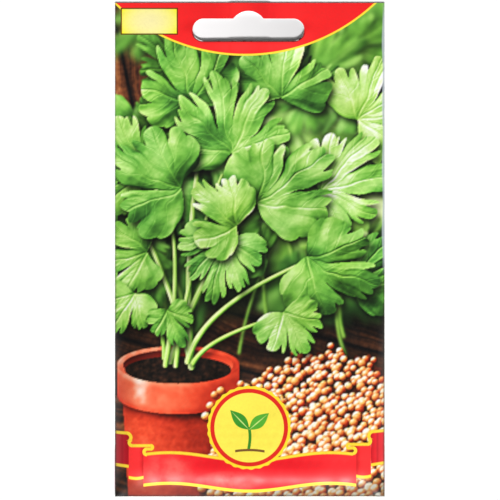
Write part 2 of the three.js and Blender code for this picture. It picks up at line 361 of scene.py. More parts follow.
draw = drawn_numbers(SEED_DRAW)
scattered = []
for seed in range(SEED_COUNT):
    seed_radius = SEED_DIAMETER / 2 * (1 + SEED_VARIATION * (2 * next(draw) - 1))
    seed_x = seed_reach * (2 * next(draw) - 1)
    scattered.append((seed_x, SEED_FLOOR + SEED_SCATTER * next(draw), seed_radius))
scattered = np.array(scattered)
seed_spots, seed_radii = scattered[:, :2].copy(), scattered[:, 2]
least_apart = SEED_CONTACT * (seed_radii[:, None] + seed_radii)
for step in range(SETTLE_STEPS):
    seed_spots[:, 1] -= SETTLE_SLIDE * (1 - step / SETTLE_STEPS)
    between_seeds = seed_spots[:, None] - seed_spots
    distances = np.hypot(between_seeds[..., 0], between_seeds[..., 1]) + 1e-12
    pushes = SETTLE_STIFFNESS * np.maximum(least_apart - distances, 0) / distances
    np.fill_diagonal(pushes, 0)
    seed_spots += (pushes[..., None] * between_seeds).sum(1)
    seed_spots[:, 0] = np.clip(seed_spots[:, 0], -seed_reach, seed_reach)
    seed_spots[:, 1] = np.maximum(seed_spots[:, 1], SEED_FLOOR)

lap_reach = LAP_WIDTH / 2 + LAP_CLEARANCE + LAP_RAMP + SEED_DIAMETER / 2
tab_reach = TAB_DEPTH + LAP_CLEARANCE + TAB_RAMP + SEED_DIAMETER / 2
seed_lifts = (np.abs(seed_spots[:, 0]) < lap_reach) * 1 + (seed_spots[:, 1] < tab_reach) * 1
seed_heights = PAPER + seed_lifts * LAYER + SEED_REST + BALL_SWELLING * seed_radii
seed_points = np.column_stack([seed_spots[:, 0], seed_spots[:, 1] - HALF_HEIGHT, seed_heights])
seed_turns = np.array([(next(draw), 0, next(draw)) for seed in range(SEED_COUNT)]) * pi


def ribbed_ball():
    """One ripe fruit of diameter 2: a ball with ribs that run from its stalk to its tip."""
    around = 2 * SEED_RIBS
    points = [(0, 0, 1)]
    for ring in range(1, SEED_RINGS):
        slope = pi * ring / SEED_RINGS
        for n in range(around):
            rib = 1 - SEED_RIB_DEPTH * (n % 2) * sin(slope)
            turn = 2 * pi * n / around
            points.append((rib * sin(slope) * cos(turn), rib * sin(slope) * sin(turn), cos(slope)))
    points.append((0, 0, -1))
    last = len(points) - 1
    faces = []
    for n in range(around):
        after = (n + 1) % around
        faces.append((0, 1 + n, 1 + after))
        for ring in range(SEED_RINGS - 2):
            low = 1 + ring * around
            faces.append((low + n, low + around + n, low + around + after, low + after))
        faces.append((last - around + n, last, last - around + after))
    ball = new_mesh("ribbed_ball", points, faces)
    ball.shade_smooth()
    return ball


def scattered_seeds():
    """A tree that sets a ribbed ball on every point, of the point's own size and turn."""
    tree = bpy.data.node_groups.new("scattered_seeds", "GeometryNodeTree")
    for name, kind in (("Points", "Geometry"), ("Ball", "Object"), ("Husk", "Material")):
        tree.interface.new_socket(name, in_out="INPUT", socket_type="NodeSocket" + kind)
    tree.interface.new_socket("Seeds", in_out="OUTPUT", socket_type="NodeSocketGeometry")
    points = Ink(tree).node("NodeGroupInput", output="Points")
    ball = points.node("GeometryNodeObjectInfo", {}, {"Object": points.beside("Ball")}, output="Geometry")
    radius = points.node("GeometryNodeInputNamedAttribute", {"data_type": "FLOAT"}, {"Name": "radius"})
    turn = points.node("GeometryNodeInputNamedAttribute", {"data_type": "FLOAT_VECTOR"}, {"Name": "turn"})
    placing = {"Points": points, "Instance": ball, "Rotation": turn, "Scale": radius}
    placed = points.node("GeometryNodeInstanceOnPoints", {}, placing)
    solid = points.node("GeometryNodeRealizeInstances", {}, {0: placed})
    husk = {"Geometry": solid, "Material": points.beside("Husk")}
    points.node("NodeGroupOutput", {}, {"Seeds": points.node("GeometryNodeSetMaterial", {}, husk)})
    return tree


seed_husk, where = start_material("seed_husk")
blotches = where.noise(900, detail=3)
fine = where.noise(5000)
husk_colour = (fine * 0.5).mix(blotches.over(0.5, 0.35).mix(HUSK_SHADED, HUSK_TAN), HUSK_WORN)
husk_bump = fine.bump(0.4, 0.05 * MM)
give_finish(where, {"Base Color": husk_colour, "Roughness": 0.62 + 0.2 * blotches, "Normal": husk_bump})

ball_holder = add_object("ribbed_ball", ribbed_ball())
seed_mesh = new_mesh("seed_points", seed_points.tolist(), [])
seed_mesh.attributes.new("radius", "FLOAT", "POINT").data.foreach_set("value", seed_radii)
seed_mesh.attributes.new("turn", "FLOAT_VECTOR", "POINT").data.foreach_set("vector", seed_turns.ravel())
seeds = add_object("loose_seeds", seed_mesh)
growing = seeds.modifiers.new("scattered_seeds", "NODES")
growing.node_group = scattered_seeds()
seed_inputs = {item.name: item.identifier for item in growing.node_group.interface.items_tree}
growing[seed_inputs["Ball"]] = ball_holder
growing[seed_inputs["Husk"]] = seed_husk


def settle_modifiers(piece):
    """Turns what the piece's modifiers make into its own plain mesh."""
    evaluated = piece.evaluated_get(bpy.context.evaluated_depsgraph_get())
    finished = bpy.data.meshes.new_from_object(evaluated)
    piece.modifiers.clear()
    piece.data = finished
    finished.name = piece.name


settle_modifiers(seeds)
bpy.data.objects.remove(ball_holder)
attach(seeds, "root")
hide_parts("seeds")

# The printed picture
# The front carries a photograph-like print: a leafy herb in a clay pot beside a heap of its seeds,
# before dark boards. It is painted in millimetres from the bottom edge, from the back forwards, on a
# canvas that the front's points take their colours from.
CANVAS_FINENESS = 6  # canvas points to a millimetre
PICTURE_DRAW = 7310
PATCH_SIZES = (0.7, 1.3, 2.8, 6.0, 12.0)
picture_light = Vector((-0.42, 0.62, 0.66)).normalized()
picture_gleam = (picture_light + Vector((0, 0, 1))).normalized()
brush = np.random.default_rng(PICTURE_DRAW)
picture_half = HALF_WIDTH / MM
picture_top = PACKET_HEIGHT / MM
canvas_across = np.linspace(-picture_half, picture_half, round(2 * picture_half * CANVAS_FINENESS) + 1)
canvas_up = np.linspace(0, picture_top, round(picture_top * CANVAS_FINENESS) + 1)
ACROSS, UP = np.meshgrid(canvas_across, canvas_up)


def bell(value, width):
    """1 where the value is 0, and less over the width on both sides."""
    return np.exp(-((value / width) ** 2))


def softening(shape, spread):
    """What a field's waves are multiplied by to soften it over a spread in canvas points."""
    down = np.fft.fftfreq(shape[0])[:, None]
    along = np.fft.rfftfreq(shape[1])[None, :]
    return np.exp(-2 * (pi * spread) ** 2 * (down**2 + along**2))


def blur(field, reach):
    """A field on the canvas softened over a reach in millimetres."""
    spread = reach * CANVAS_FINENESS
    pad = int(3 * spread) + 1
    padded = np.pad(field, [(pad, pad), (pad, pad)] + [(0, 0)] * (field.ndim - 2), mode="edge")
    weights = softening(padded.shape, spread)
    weights = weights if field.ndim == 2 else weights[..., None]
    softened = np.fft.irfft2(np.fft.rfft2(padded, axes=(0, 1)) * weights, s=padded.shape[:2], axes=(0, 1))
    return softened[pad:-pad, pad:-pad]


def random_patches(size):
    """Soft random patches from -1 to 1, all over the canvas, that repeat without a seam."""
    noise = brush.standard_normal(ACROSS.shape)
    weights = softening(noise.shape, size / 2.5 * CANVAS_FINENESS)
    weights[0, 0] = 0
    field = np.fft.irfft2(np.fft.rfft2(noise) * weights, s=noise.shape)
    return np.clip(field / (2.2 * field.std()), -1, 1)


PATCHES = {size: random_patches(size) for size in PATCH_SIZES}


def patches(size, shape):
    """Patches of a size in millimetres, cut from a drawn place to the shape of a part of the canvas."""
    field = PATCHES[size]
    low, left = brush.integers(0, field.shape[0]), brush.integers(0, field.shape[1])
    rows, columns = low + np.arange(shape[0]), left + np.arange(shape[1])
    return np.take(np.take(field, rows, 0, mode="wrap"), columns, 1, mode="wrap")


def tones(value, stops):
    """Colours for a field of values, between stops of a place and a colour."""
    places = [place for place, colour in stops]
    return np.stack([np.interp(value, places, [colour[k] for place, colour in stops]) for k in range(3)], -1)


def area(left, bottom, right, top):
    """The part of the canvas in a box."""
    across = np.clip(np.searchsorted(canvas_across, [left, right]), 0, len(canvas_across))
    up = np.clip(np.searchsorted(canvas_up, [bottom, top]), 0, len(canvas_up))
    return slice(*up), slice(*across)


def lay(box, colour, cover, shadow=0.0, cast=(0.9, -1.3), spread=1.0, soft=0.0):
    """Lays colour over the canvas where it covers it, with a soft shadow cast beside it."""
    if soft:
        colour = blur(colour * cover[..., None], soft)
        cover = blur(cover, soft)
        colour = colour / np.maximum(cover[..., None], 1e-4)
    if shadow:
        shade = np.zeros_like(cover)
        right, down = round(cast[0] * CANVAS_FINENESS), round(-cast[1] * CANVAS_FINENESS)
        shade[: cover.shape[0] - down, right:] = blur(cover, spread)[down:, : cover.shape[1] - right]
        canvas[box] *= 1 - shadow * held(shade)[..., None]
    opaque = held(cover)[..., None]
    canvas[box] = canvas[box] * (1 - opaque) + colour * opaque


SMALLEST_PART = 8  # canvas points across, below which a leaf or a stem is left out
LOBE_SPREADS = {3: 0.92, 5: 0.66}  # angles between a leaf's lobes
CLEFT_DEPTH, NOTCH_DEPTH, TOOTH_DEPTH = 0.52, 0.17, 0.09
BACK_ANGLE = 2.3  # from a leaf's middle line to where it ends at its stalk
VEIN_GAP = 0.20  # between a leaf's side veins, of its length
SHADED_GREEN = (
    (0.0, (0.04, 0.09, 0.06)), (0.25, (0.19, 0.35, 0.17)), (0.5, (0.41, 0.64, 0.32)),
    (0.75, (0.66, 0.86, 0.51)), (0.9, (0.84, 0.96, 0.72)), (1.0, (0.97, 1.0, 0.92)),
)
SUNLIT_GREEN = (
    (0.0, (0.08, 0.12, 0.05)), (0.25, (0.32, 0.45, 0.17)), (0.5, (0.57, 0.74, 0.32)),
    (0.75, (0.79, 0.91, 0.54)), (0.9, (0.92, 0.98, 0.76)), (1.0, (0.99, 1.0, 0.94)),
)


def leaf_frame(box, x, y, turn, length, squash, bend):
    """How far each point is from the leaf's foot, and at what angle, on a leaf that sways and bends."""
    shape, sway, lean = ACROSS[box].shape, 0.045 * length, radians(turn)
    off_x = ACROSS[box] - x + sway * patches(6.0, shape) + 0.25 * patches(2.8, shape)
    off_y = UP[box] - y + sway * patches(6.0, shape) + 0.25 * patches(2.8, shape)
    along = off_x * sin(lean) + off_y * cos(lean)
    aside = (off_x * cos(lean) - off_y * sin(lean)) / squash
    aside = aside - bend * along * along / length
    return np.hypot(along, aside) + 1e-6, np.arctan2(aside, along)


def leaf_rim(angle, length, lobes, start, other_start, lobe_angles, lobe_sizes):
    """How far from its foot the leaf ends at each angle, and the angle of the lobe that this is in."""
    spread = LOBE_SPREADS[lobes]
    own = np.argmin(np.abs(angle[None] - lobe_angles[:, None, None]), 0)
    off = (angle - lobe_angles[own]) / (spread / 2)
    beyond = ((own == 0) & (off < 0)) | ((own == lobes - 1) & (off > 0))
    off = np.abs(off)
    cleft = 1 - CLEFT_DEPTH * np.exp(-((held(1 - off) / 0.13) ** 1.3)) - 0.10 * off**2
    rounded_back = held(1 - (off / 2.3) ** 2.4) ** 0.5
    notch = 1 - NOTCH_DEPTH * bell(off - 0.46, 0.085) * (off < 1.2)
    teeth = np.abs(np.sin(angle * 9 / spread + 0.4 * np.sin(angle * 5 + start) + other_start))
    edge = length * lobe_sizes[own] * np.where(beyond, rounded_back, cleft) * notch
    edge = edge * (0.895 + TOOTH_DEPTH * teeth**0.6)
    return np.where(np.abs(angle) < BACK_ANGLE, edge, 0.0), lobe_angles[own]


def paint_leaf(x, y, turn, length, lobes, squash, bend, sun, light, soft, shadow, gloss):
    """A cut herb leaf: three or five lobes with toothed edges, veins, puckers and a waved rim."""
    reach = length * 1.45 + 3 * soft + 4
    box = area(x - reach, y - reach, x + reach, y + reach)
    shape = ACROSS[box].shape
    if min(shape) < SMALLEST_PART:
        return
    away, angle = leaf_frame(box, x, y, turn, length, squash, bend)
    from_middle = np.arange(lobes) - (lobes - 1) / 2
    lobe_angles = from_middle * LOBE_SPREADS[lobes] + brush.uniform(-0.07, 0.07, lobes)
    lobe_sizes = (1 - 0.11 * np.abs(from_middle)) * brush.uniform(0.92, 1.06, lobes)
    start, other_start = brush.uniform(0, 2 * pi, 2)
    rim, lobe_angle = leaf_rim(angle, length, lobes, start, other_start, lobe_angles, lobe_sizes)
    inside_rim = rim - away
    cover = held(inside_rim * CANVAS_FINENESS * 0.7 + 0.5)

    along = away * np.cos(angle - lobe_angle)
    beside = away * np.abs(np.sin(angle - lobe_angle))
    share = np.clip(away / np.maximum(rim, 1e-3), 0, 1.1)
    vein_gap = VEIN_GAP * length
    step = (along - 1.1 * beside) / vein_gap + 0.4 * np.sign(angle - lobe_angle)
    step = step + start + 0.16 * patches(2.8, shape)
    in_step = step - np.floor(step)
    taper = held(1.15 - along / length)
    vein = bell(beside, 0.14 + 0.20 * taper)
    side_vein = bell((in_step - 0.5) * vein_gap, 0.17)
    side_vein *= held(beside / 0.5) * held(1.25 - beside / (0.38 * length))
    height = -0.42 * length * (along / length - 0.5) ** 2 - 0.10 * beside * held(beside / (0.3 * length))
    height += 0.026 * length * share**2.5 * np.sin(angle * 7.5 + other_start)
    height += 0.016 * length * share**3 * np.sin(angle * 17 + start)
    height += 0.17 * patches(2.8, shape) + 0.6 * patches(6.0, shape) * length / 22
    height += 0.02 * patches(0.7, shape)
    height -= 0.20 * vein + 0.07 * side_vein + 0.04 * np.cos(2 * pi * in_step) * held(beside)
    slope_up, slope_across = np.gradient(height, 1 / CANVAS_FINENESS)
    level = 1 / np.sqrt(slope_across**2 + slope_up**2 + 1)

    def towards(ray):
        return held((ray.z - slope_across * ray.x - slope_up * ray.y) * level)

    lit = light - 0.27 + 0.46 * towards(picture_light) + 0.16 * gloss * towards(picture_gleam) ** 26
    lit += 0.08 * vein * taper + 0.04 * side_vein + 0.05 * bell(inside_rim, 0.25)
    lit += 0.14 * patches(6.0, shape) + 0.03 * patches(1.3, shape) - 0.14 * bell(away, 0.16 * length)
    warmth = held(sun + 0.18 * patches(6.0, shape) + 0.10 * vein)[..., None]
    colour = tones(lit, SHADED_GREEN) * (1 - warmth) + tones(lit, SUNLIT_GREEN) * warmth
    lay(box, colour, cover, shadow=shadow, spread=0.9 + soft, soft=soft)


STEM_GREEN = (
    (0.0, (0.12, 0.20, 0.08)), (0.35, (0.38, 0.54, 0.22)), (0.6, (0.62, 0.79, 0.38)),
    (0.85, (0.82, 0.92, 0.62)), (1, (0.97, 0.99, 0.88)),
)
STEM_STEPS = 26


def paint_stem(start, bend, end, radius, light, soft, shadow):
    """A round stem along a curve from its start, towards its bend, to its end, thinner as it goes."""
    reach = radius + 3 * soft + 5
    xs, ys = zip(start, bend, end)
    box = area(min(xs) - reach, min(ys) - reach, max(xs) + reach, max(ys) + reach)
    shape = ACROSS[box].shape
    if min(shape) < SMALLEST_PART:
        return
    shares = np.linspace(0, 1, STEM_STEPS)
    weights = np.stack([(1 - shares) ** 2, 2 * shares * (1 - shares), shares**2], 1)
    line = weights @ np.array([start, bend, end])
    nearest, across, gone = np.full(shape, 1e9), np.zeros(shape), np.zeros(shape)
    for (from_x, from_y), (to_x, to_y), share in zip(line[:-1], line[1:], shares):
        step_x, step_y = to_x - from_x, to_y - from_y
        stretch = hypot(step_x, step_y)
        foot = held(((ACROSS[box] - from_x) * step_x + (UP[box] - from_y) * step_y) / stretch**2)
        off_x, off_y = ACROSS[box] - from_x - foot * step_x, UP[box] - from_y - foot * step_y
        closer = np.hypot(off_x, off_y) < nearest
        nearest = np.where(closer, np.hypot(off_x, off_y), nearest)
        across = np.where(closer, (off_x * step_y - off_y * step_x) / stretch, across)
        gone = np.where(closer, share, gone)
    own_radius = radius * (1 - 0.4 * gone)
    cover = held((own_radius - nearest) * CANVAS_FINENESS + 0.5)
    side = np.clip(across / own_radius, -1, 1)
    lit = light - 0.24 + 0.36 * np.sqrt(held(1 - (side + 0.35) ** 2)) - 0.12 * side
    lit = lit + 0.04 * np.sin(side * 9) + 0.06 * patches(2.8, shape)
    lay(box, tones(lit, STEM_GREEN), cover, shadow=shadow, spread=0.8 + soft, soft=soft)


WORN_WOOD = (
    (0.0, (0.05, 0.04, 0.05)), (0.3, (0.24, 0.15, 0.11)), (0.55, (0.52, 0.34, 0.22)),
    (0.8, (0.78, 0.60, 0.44)), (1.0, (0.95, 0.86, 0.72)),
)
WOOD_FIBRES = ((0.8, 0.5), (2.2, 0.4), (4.6, 0.35))  # how many to a millimetre, and how deep


def paint_boards(box, lean, light, width, fade):
    """Old boards with worn grain and dark gaps, at a lean from upright, where the fade lets them show."""
    shape = ACROSS[box].shape
    across = ACROSS[box] * cos(lean) + UP[box] * sin(lean)
    along = ACROSS[box] * sin(lean) - UP[box] * cos(lean)
    warped = across + 0.9 * patches(12.0, shape) + 0.25 * patches(2.8, shape)
    grain = np.zeros(shape)
    for fineness, depth in WOOD_FIBRES:
        fibres = brush.standard_normal(4000)
        place = warped * fineness + len(fibres) / 2 + 0.02 * along * fineness
        fibre = np.floor(place).astype(int)
        share = ease(0, 1, place - fibre)
        grain += depth * (fibres[fibre] * (1 - share) + fibres[fibre + 1] * share)
    lit = light + 0.14 * grain + 0.08 * patches(6.0, shape) + 0.06 * patches(0.7, shape)
    from_gap = np.abs(((across + 3) / width) % 1 - 0.5) * width
    lit -= 0.20 * bell(from_gap, 0.9) + 0.5 * bell(from_gap, 0.28)
    lay(box, tones(lit, WORN_WOOD), fade, soft=0.15)


BAKED_CLAY = (
    (0.0, (0.24, 0.06, 0.04)), (0.3, (0.62, 0.20, 0.12)), (0.55, (0.89, 0.34, 0.23)),
    (0.78, (0.97, 0.52, 0.41)), (1.0, (1.0, 0.88, 0.82)),
)
POT_SOIL = ((0.0, (0.05, 0.04, 0.03)), (0.5, (0.26, 0.17, 0.12)), (1.0, (0.5, 0.38, 0.28)))
POT_MIDDLE, POT_TOP, POT_HALF, POT_DEPTH = -20.5, 38, 17.5, 46
POT_RIM = 9.0
MOUTH_HALF = POT_HALF * 0.30  # its half height, as it is seen from a little above
OUTLINE_SOFTNESS = 0.07


def cut_out(inside):
    """What a part of the picture covers, softly outlined, from where its inside is."""
    return blur(inside.astype(float), OUTLINE_SOFTNESS)


def paint_pot():
    """A round clay pot with a thick rim, seen from a little above, with soil in it."""
    box = area(POT_MIDDLE - POT_HALF - 6, 0, POT_MIDDLE + POT_HALF + 6, POT_TOP + 14)
    off_x, up = ACROSS[box] - POT_MIDDLE, UP[box]
    shape = off_x.shape
    wall = off_x / (POT_HALF * (0.91 - 0.15 * (POT_TOP - POT_RIM - up) / POT_DEPTH))
    facing = np.sqrt(held(1 - wall**2))
    lit = 0.17 + 0.42 * np.clip(facing * 0.72 - wall * 0.62, 0, 1.3) + 0.06 * patches(6.0, shape)
    lit += 0.05 * patches(1.3, shape) + 0.03 * patches(0.7, shape)
    lit -= 0.34 * bell(POT_TOP - POT_RIM - MOUTH_HALF * facing - up + 1.5, 3.2)
    below_rim = (np.abs(wall) < 1) & (up < POT_TOP - POT_RIM * 0.5)
    lay(box, tones(lit, BAKED_CLAY), cut_out(below_rim), shadow=0.6, spread=2.2, cast=(2.6, -1.0))

    side = np.clip(off_x / POT_HALF, -1, 1)
    facing = np.sqrt(1 - side**2)
    rim_foot = POT_TOP - POT_RIM - MOUTH_HALF * facing
    up_rim = (up - rim_foot) / POT_RIM
    lit = 0.32 + 0.42 * np.clip(facing * 0.70 - side * 0.64, 0, 1.3) + 0.10 * bell(up_rim - 0.92, 0.12)
    lit += 0.05 * patches(6.0, shape) + 0.04 * patches(1.3, shape) - 0.14 * bell(up_rim, 0.15)
    lit += 0.22 * bell(side + 0.62, 0.13) * bell(up_rim - 0.6, 0.5)
    on_rim = (np.abs(off_x) < POT_HALF) & (up > rim_foot) & (up < POT_TOP + MOUTH_HALF * facing)
    lay(box, tones(lit, BAKED_CLAY), cut_out(on_rim), shadow=0.4, spread=0.9, cast=(0.3, -1.0))

    def mouth_disc(share, drop, flatness):
        off_middle = np.hypot(off_x / (POT_HALF * share), (up - POT_TOP + drop) / (MOUTH_HALF * flatness))
        return cut_out(off_middle < 1)

    above_mouth = (up - POT_TOP) / MOUTH_HALF
    lip_lit = 0.60 - 0.20 * side + 0.12 * above_mouth + 0.05 * patches(1.3, shape)
    lay(box, tones(lip_lit, BAKED_CLAY), mouth_disc(0.995, 0, 0.99))
    lay(box, tones(0.36 + 0.26 * side - 0.22 * above_mouth, BAKED_CLAY), mouth_disc(0.90, 0.25, 0.84))
    grit = 0.28 + 0.2 * patches(0.7, shape) + 0.16 * patches(1.3, shape)
    lay(box, tones(grit, POT_SOIL), mouth_disc(0.87, 1.6, 0.74))


PALE_HUSK = (
    (0.0, (0.30, 0.12, 0.07)), (0.3, (0.66, 0.36, 0.19)), (0.6, (0.95, 0.65, 0.38)),
    (0.85, (1.0, 0.82, 0.58)), (1.0, (1.0, 0.95, 0.82)),
)
RUSTY_HUSK = (
    (0.0, (0.22, 0.06, 0.04)), (0.3, (0.56, 0.20, 0.11)), (0.6, (0.83, 0.40, 0.22)),
    (0.85, (0.96, 0.63, 0.42)), (1.0, (1.0, 0.88, 0.74)),
)
HUSK_RIBS = 8
TIP_PLACE = 0.5  # how far from the middle of a seed its dark tip shows, where it is rusty enough
TIPPED_RUST = 0.45


def paint_seed(x, y, radius, rust, light):
    """One round ribbed seed, between pale and rusty, lit from the upper left."""
    reach = radius + 0.9
    box = area(x - reach, y - reach, x + reach, y + reach)
    off_x, off_y = (ACROSS[box] - x) / radius, (UP[box] - y) / radius
    if off_x.size == 0:
        return
    away = np.hypot(off_x, off_y)
    cover = held((1 - away) * radius * CANVAS_FINENESS + 0.5)[..., None]
    facing = np.sqrt(held(1 - away**2))
    turn = brush.uniform(0, 2 * pi)
    tip_x, tip_y = TIP_PLACE * cos(turn), TIP_PLACE * sin(turn)
    around = np.arctan2(off_y - tip_y * facing, off_x - tip_x * facing)
    ribs = np.cos(HUSK_RIBS * around) * 0.07 * (1 - 0.6 * facing)
    towards_light = held(0.30 * facing - 0.46 * off_x + 0.66 * off_y + 0.22)
    lit = light * (0.22 + 0.82 * towards_light) + ribs + 0.08 * facing
    lit += 0.11 * np.exp(-((off_x + 0.33) ** 2 + (off_y - 0.42) ** 2) / 0.08)
    lit -= 0.25 * np.exp(-((off_x - tip_x) ** 2 + (off_y - tip_y) ** 2) / 0.02) * (rust > TIPPED_RUST)
    colour = tones(lit, PALE_HUSK) * (1 - rust) + tones(lit, RUSTY_HUSK) * rust
    canvas[box] *= (1 - 0.52 * held(1.3 - np.hypot(off_x - 0.35, off_y + 0.5)))[..., None]
    canvas[box] = canvas[box] * (1 - cover) + colour * cover


def sunny(x, y):
    """How much of the light from the right falls on a place, below 0 in the shade at the lower right."""
    return ease(-12, 30, x) * (1.2 * ease(58, 80, y) * (1 - 0.8 * ease(96, 124, y)) - 0.5 * ease(76, 58, y))


BLURRED_GREENS = (
    (0.0, (0.08, 0.11, 0.09)), (0.3, (0.22, 0.34, 0.16)), (0.55, (0.48, 0.68, 0.28)),
    (0.8, (0.72, 0.89, 0.48)), (1.0, (0.94, 0.99, 0.78)),
)
canvas = tones(0.33 + 0.46 * sunny(ACROSS, UP) + 0.20 * PATCHES[12.0] + 0.12 * PATCHES[6.0], BLURRED_GREENS)
canvas = blur(canvas, 1.2)
table_box = area(-40, 0, 40, 60)
table_fade = ease(58, 48, UP[table_box] + 1.5 * patches(12.0, UP[table_box].shape))
paint_boards(table_box, radians(75), light=0.42, width=15, fade=table_fade)
canvas[table_box] *= 1 - 0.5 * ease(28, 56, UP[table_box])[..., None]  # the shade under the leaves
fence_box = area(-40, 78, 0, 142)
fence_across, fence_up = ACROSS[fence_box], UP[fence_box]
fence_fade = ease(-10, -20, fence_across + 0.25 * (fence_up - 105) + 2 * patches(6.0, fence_up.shape))
fence_fade = fence_fade * ease(80, 92, fence_up + 2 * patches(6.0, fence_up.shape))
paint_boards(fence_box, radians(12), light=0.46, width=13, fade=fence_fade)

FAR_LEAVES, FAR_STEMS, MIDDLE_LEAVES = 24, 12, 44
for leaf in range(FAR_LEAVES):
    x, y = brush.uniform(-42, 42), brush.uniform(48, 140)
    turn, length = brush.uniform(-180, 180), brush.uniform(15, 27)
    lobes, squash = brush.choice([3, 5]), brush.uniform(0.5, 0.95)
    light = 0.35 + 0.34 * sunny(x, y) + brush.uniform(-0.10, 0.10)
    sun = 0.3 + 0.5 * sunny(x, y)
    paint_leaf(x, y, turn, length, lobes, squash, 0, sun, light, soft=0.9, shadow=0.3, gloss=1.0)
for stem in range(FAR_STEMS):
    x, y = brush.uniform(-36, 30), brush.uniform(44, 70)
    bend = (x + brush.uniform(-8, 8), y + 14)
    end = (x + brush.uniform(-16, 20), y + brush.uniform(22, 40))
    paint_stem((x, y - 6), bend, end, brush.uniform(0.5, 0.8), light=0.45, soft=0.35, shadow=0.4)
for leaf in range(MIDDLE_LEAVES):
    x, y = brush.uniform(-40, 41), brush.uniform(46, 138)
    turn, length = brush.uniform(-180, 180), brush.uniform(11, 21)
    lobes, squash, bend = brush.choice([3, 3, 5]), brush.uniform(0.4, 0.95), brush.uniform(-0.3, 0.3)
    sun = brush.uniform(0.1, 0.5) + 0.3 * sunny(x, y)
    light = 0.34 + 0.20 * sunny(x, y) + brush.uniform(-0.14, 0.14)
    soft = brush.choice([0.18, 0.3, 0.5])
    paint_leaf(x, y, turn, length, lobes, squash, bend, sun, light, soft, shadow=0.5, gloss=0.8)
paint_pot()

HEAP_LEFT, HEAP_RIGHT, HEAP_HIGH = -16, 40, 44
HEAP_ROW, HEAP_GAP = 1.45, 2.15  # between the rows, and between the seeds in one
HEAP_GLOOM = ((0, (0.22, 0.10, 0.06)), (1, (0.50, 0.25, 0.14)))
STRAY_SEEDS = 22


def heap_top(x):
    return 42 - 0.020 * (x - 22) ** 2 - 8 * ease(4, -14, x) + 1.2 * np.sin(x * 0.6) + 0.8 * np.sin(x * 1.7)


heap_box = area(HEAP_LEFT, 0, HEAP_RIGHT, HEAP_HIGH + 3)
under_heap = held((heap_top(ACROSS[heap_box]) - UP[heap_box]) * 2)
under_heap *= ease(HEAP_LEFT, HEAP_LEFT + 6, ACROSS[heap_box])
gloom = tones(0.5 + 0.5 * patches(1.3, UP[heap_box].shape), HEAP_GLOOM)
lay(heap_box, gloom, under_heap, shadow=0.6, spread=2.0, cast=(1.5, -0.5))
for row in np.arange(HEAP_HIGH, -2, -HEAP_ROW):
    for column in np.arange(HEAP_LEFT + brush.uniform(0, 2), HEAP_RIGHT + 1, HEAP_GAP):
        x, y = column + brush.uniform(-0.8, 0.8), row + brush.uniform(-0.8, 0.8)
        if y > heap_top(x) + brush.uniform(-1.2, 0.6):
            continue
        if brush.random() > 0.2 + 0.8 * ease(HEAP_LEFT + 1, HEAP_LEFT + 7, x):
            continue
        size = (1.30 - 0.28 * y / (HEAP_HIGH + 2)) * brush.uniform(0.80, 1.18)
        paint_seed(x, y, size, brush.random() ** 0.9, brush.uniform(0.70, 1.15))
for stray in range(STRAY_SEEDS):
    x, y, size = brush.uniform(-14, 8), brush.uniform(22, 33), brush.uniform(1.0, 1.2)
    paint_seed(x, y, size, brush.random(), brush.uniform(0.8, 1.05))

STEMS = (  # where each one bends and ends, and its radius
    (-22, 60, -33, 82, 0.9), (-19, 70, -14, 100, 1.0), (-15, 62, 2, 86, 0.95), (-14, 55, 18, 68, 0.85),
    (-24, 52, -34, 60, 0.75), (-12, 46, 10, 52, 0.75), (-20, 60, -22, 76, 0.8), (-17, 70, -8, 92, 0.7),
)
LEAVES = (  # each one's foot, turn in degrees, length and lobes, and how warm and how bright it is
    (28, 60, 35, 21, 3, 0.30, 0.36), (-31, 92, -52, 23, 5, 0.45, 0.50), (31, 108, 50, 25, 5, 0.65, 0.60),
    (9, 114, 8, 21, 3, 0.30, 0.48), (-16, 112, -20, 22, 3, 0.35, 0.46), (20, 88, 85, 25, 5, 0.40, 0.56),
    (-29, 70, -100, 18, 3, 0.45, 0.50), (-5, 98, -8, 26, 5, 0.35, 0.52), (-20, 88, -70, 24, 3, 0.30, 0.48),
    (3, 84, 50, 25, 3, 0.35, 0.52), (16, 68, 115, 22, 3, 0.40, 0.42), (-7, 74, -165, 21, 5, 0.30, 0.54),
    (-3, 78, -62, 18, 3, 0.55, 0.56), (9, 53, 150, 15, 3, 0.50, 0.60), (-33, 58, -150, 14, 3, 0.45, 0.54),
    (-24, 54, 160, 12, 3, 0.35, 0.50),
)
for bend_x, bend_y, end_x, end_y, radius in STEMS:
    root = (POT_MIDDLE + brush.uniform(-5, 5), POT_TOP + 1 + brush.uniform(-2, 1))
    paint_stem(root, (bend_x, bend_y), (end_x, end_y), radius, brush.uniform(0.52, 0.7), soft=0, shadow=0.5)
for x, y, turn, length, lobes, sun, light in LEAVES:
    squash, bend = brush.uniform(0.75, 0.9), brush.uniform(-0.2, 0.2)
    light = light + 0.08 * sunny(x, y)
    paint_leaf(x, y, turn, length, lobes, squash, bend, sun, light, soft=0, shadow=0.7, gloss=0.75)

# The finished picture gets a print's hard contrast and sharp edges, and painted shade towards its foot, which
# tempers the lamp's extra light on the bottom fold.
CONTRAST, SHARPNESS, SHARP_REACH = 0.055, 0.8, 0.35
canvas *= 1 + 0.08 * PATCHES[12.0][..., None]
canvas -= CONTRAST * np.sin(2 * pi * held(canvas))
canvas += SHARPNESS * (canvas - blur(canvas, SHARP_REACH))
canvas = held(canvas * (1 - 0.4 * ease(9, 1, UP))[..., None])

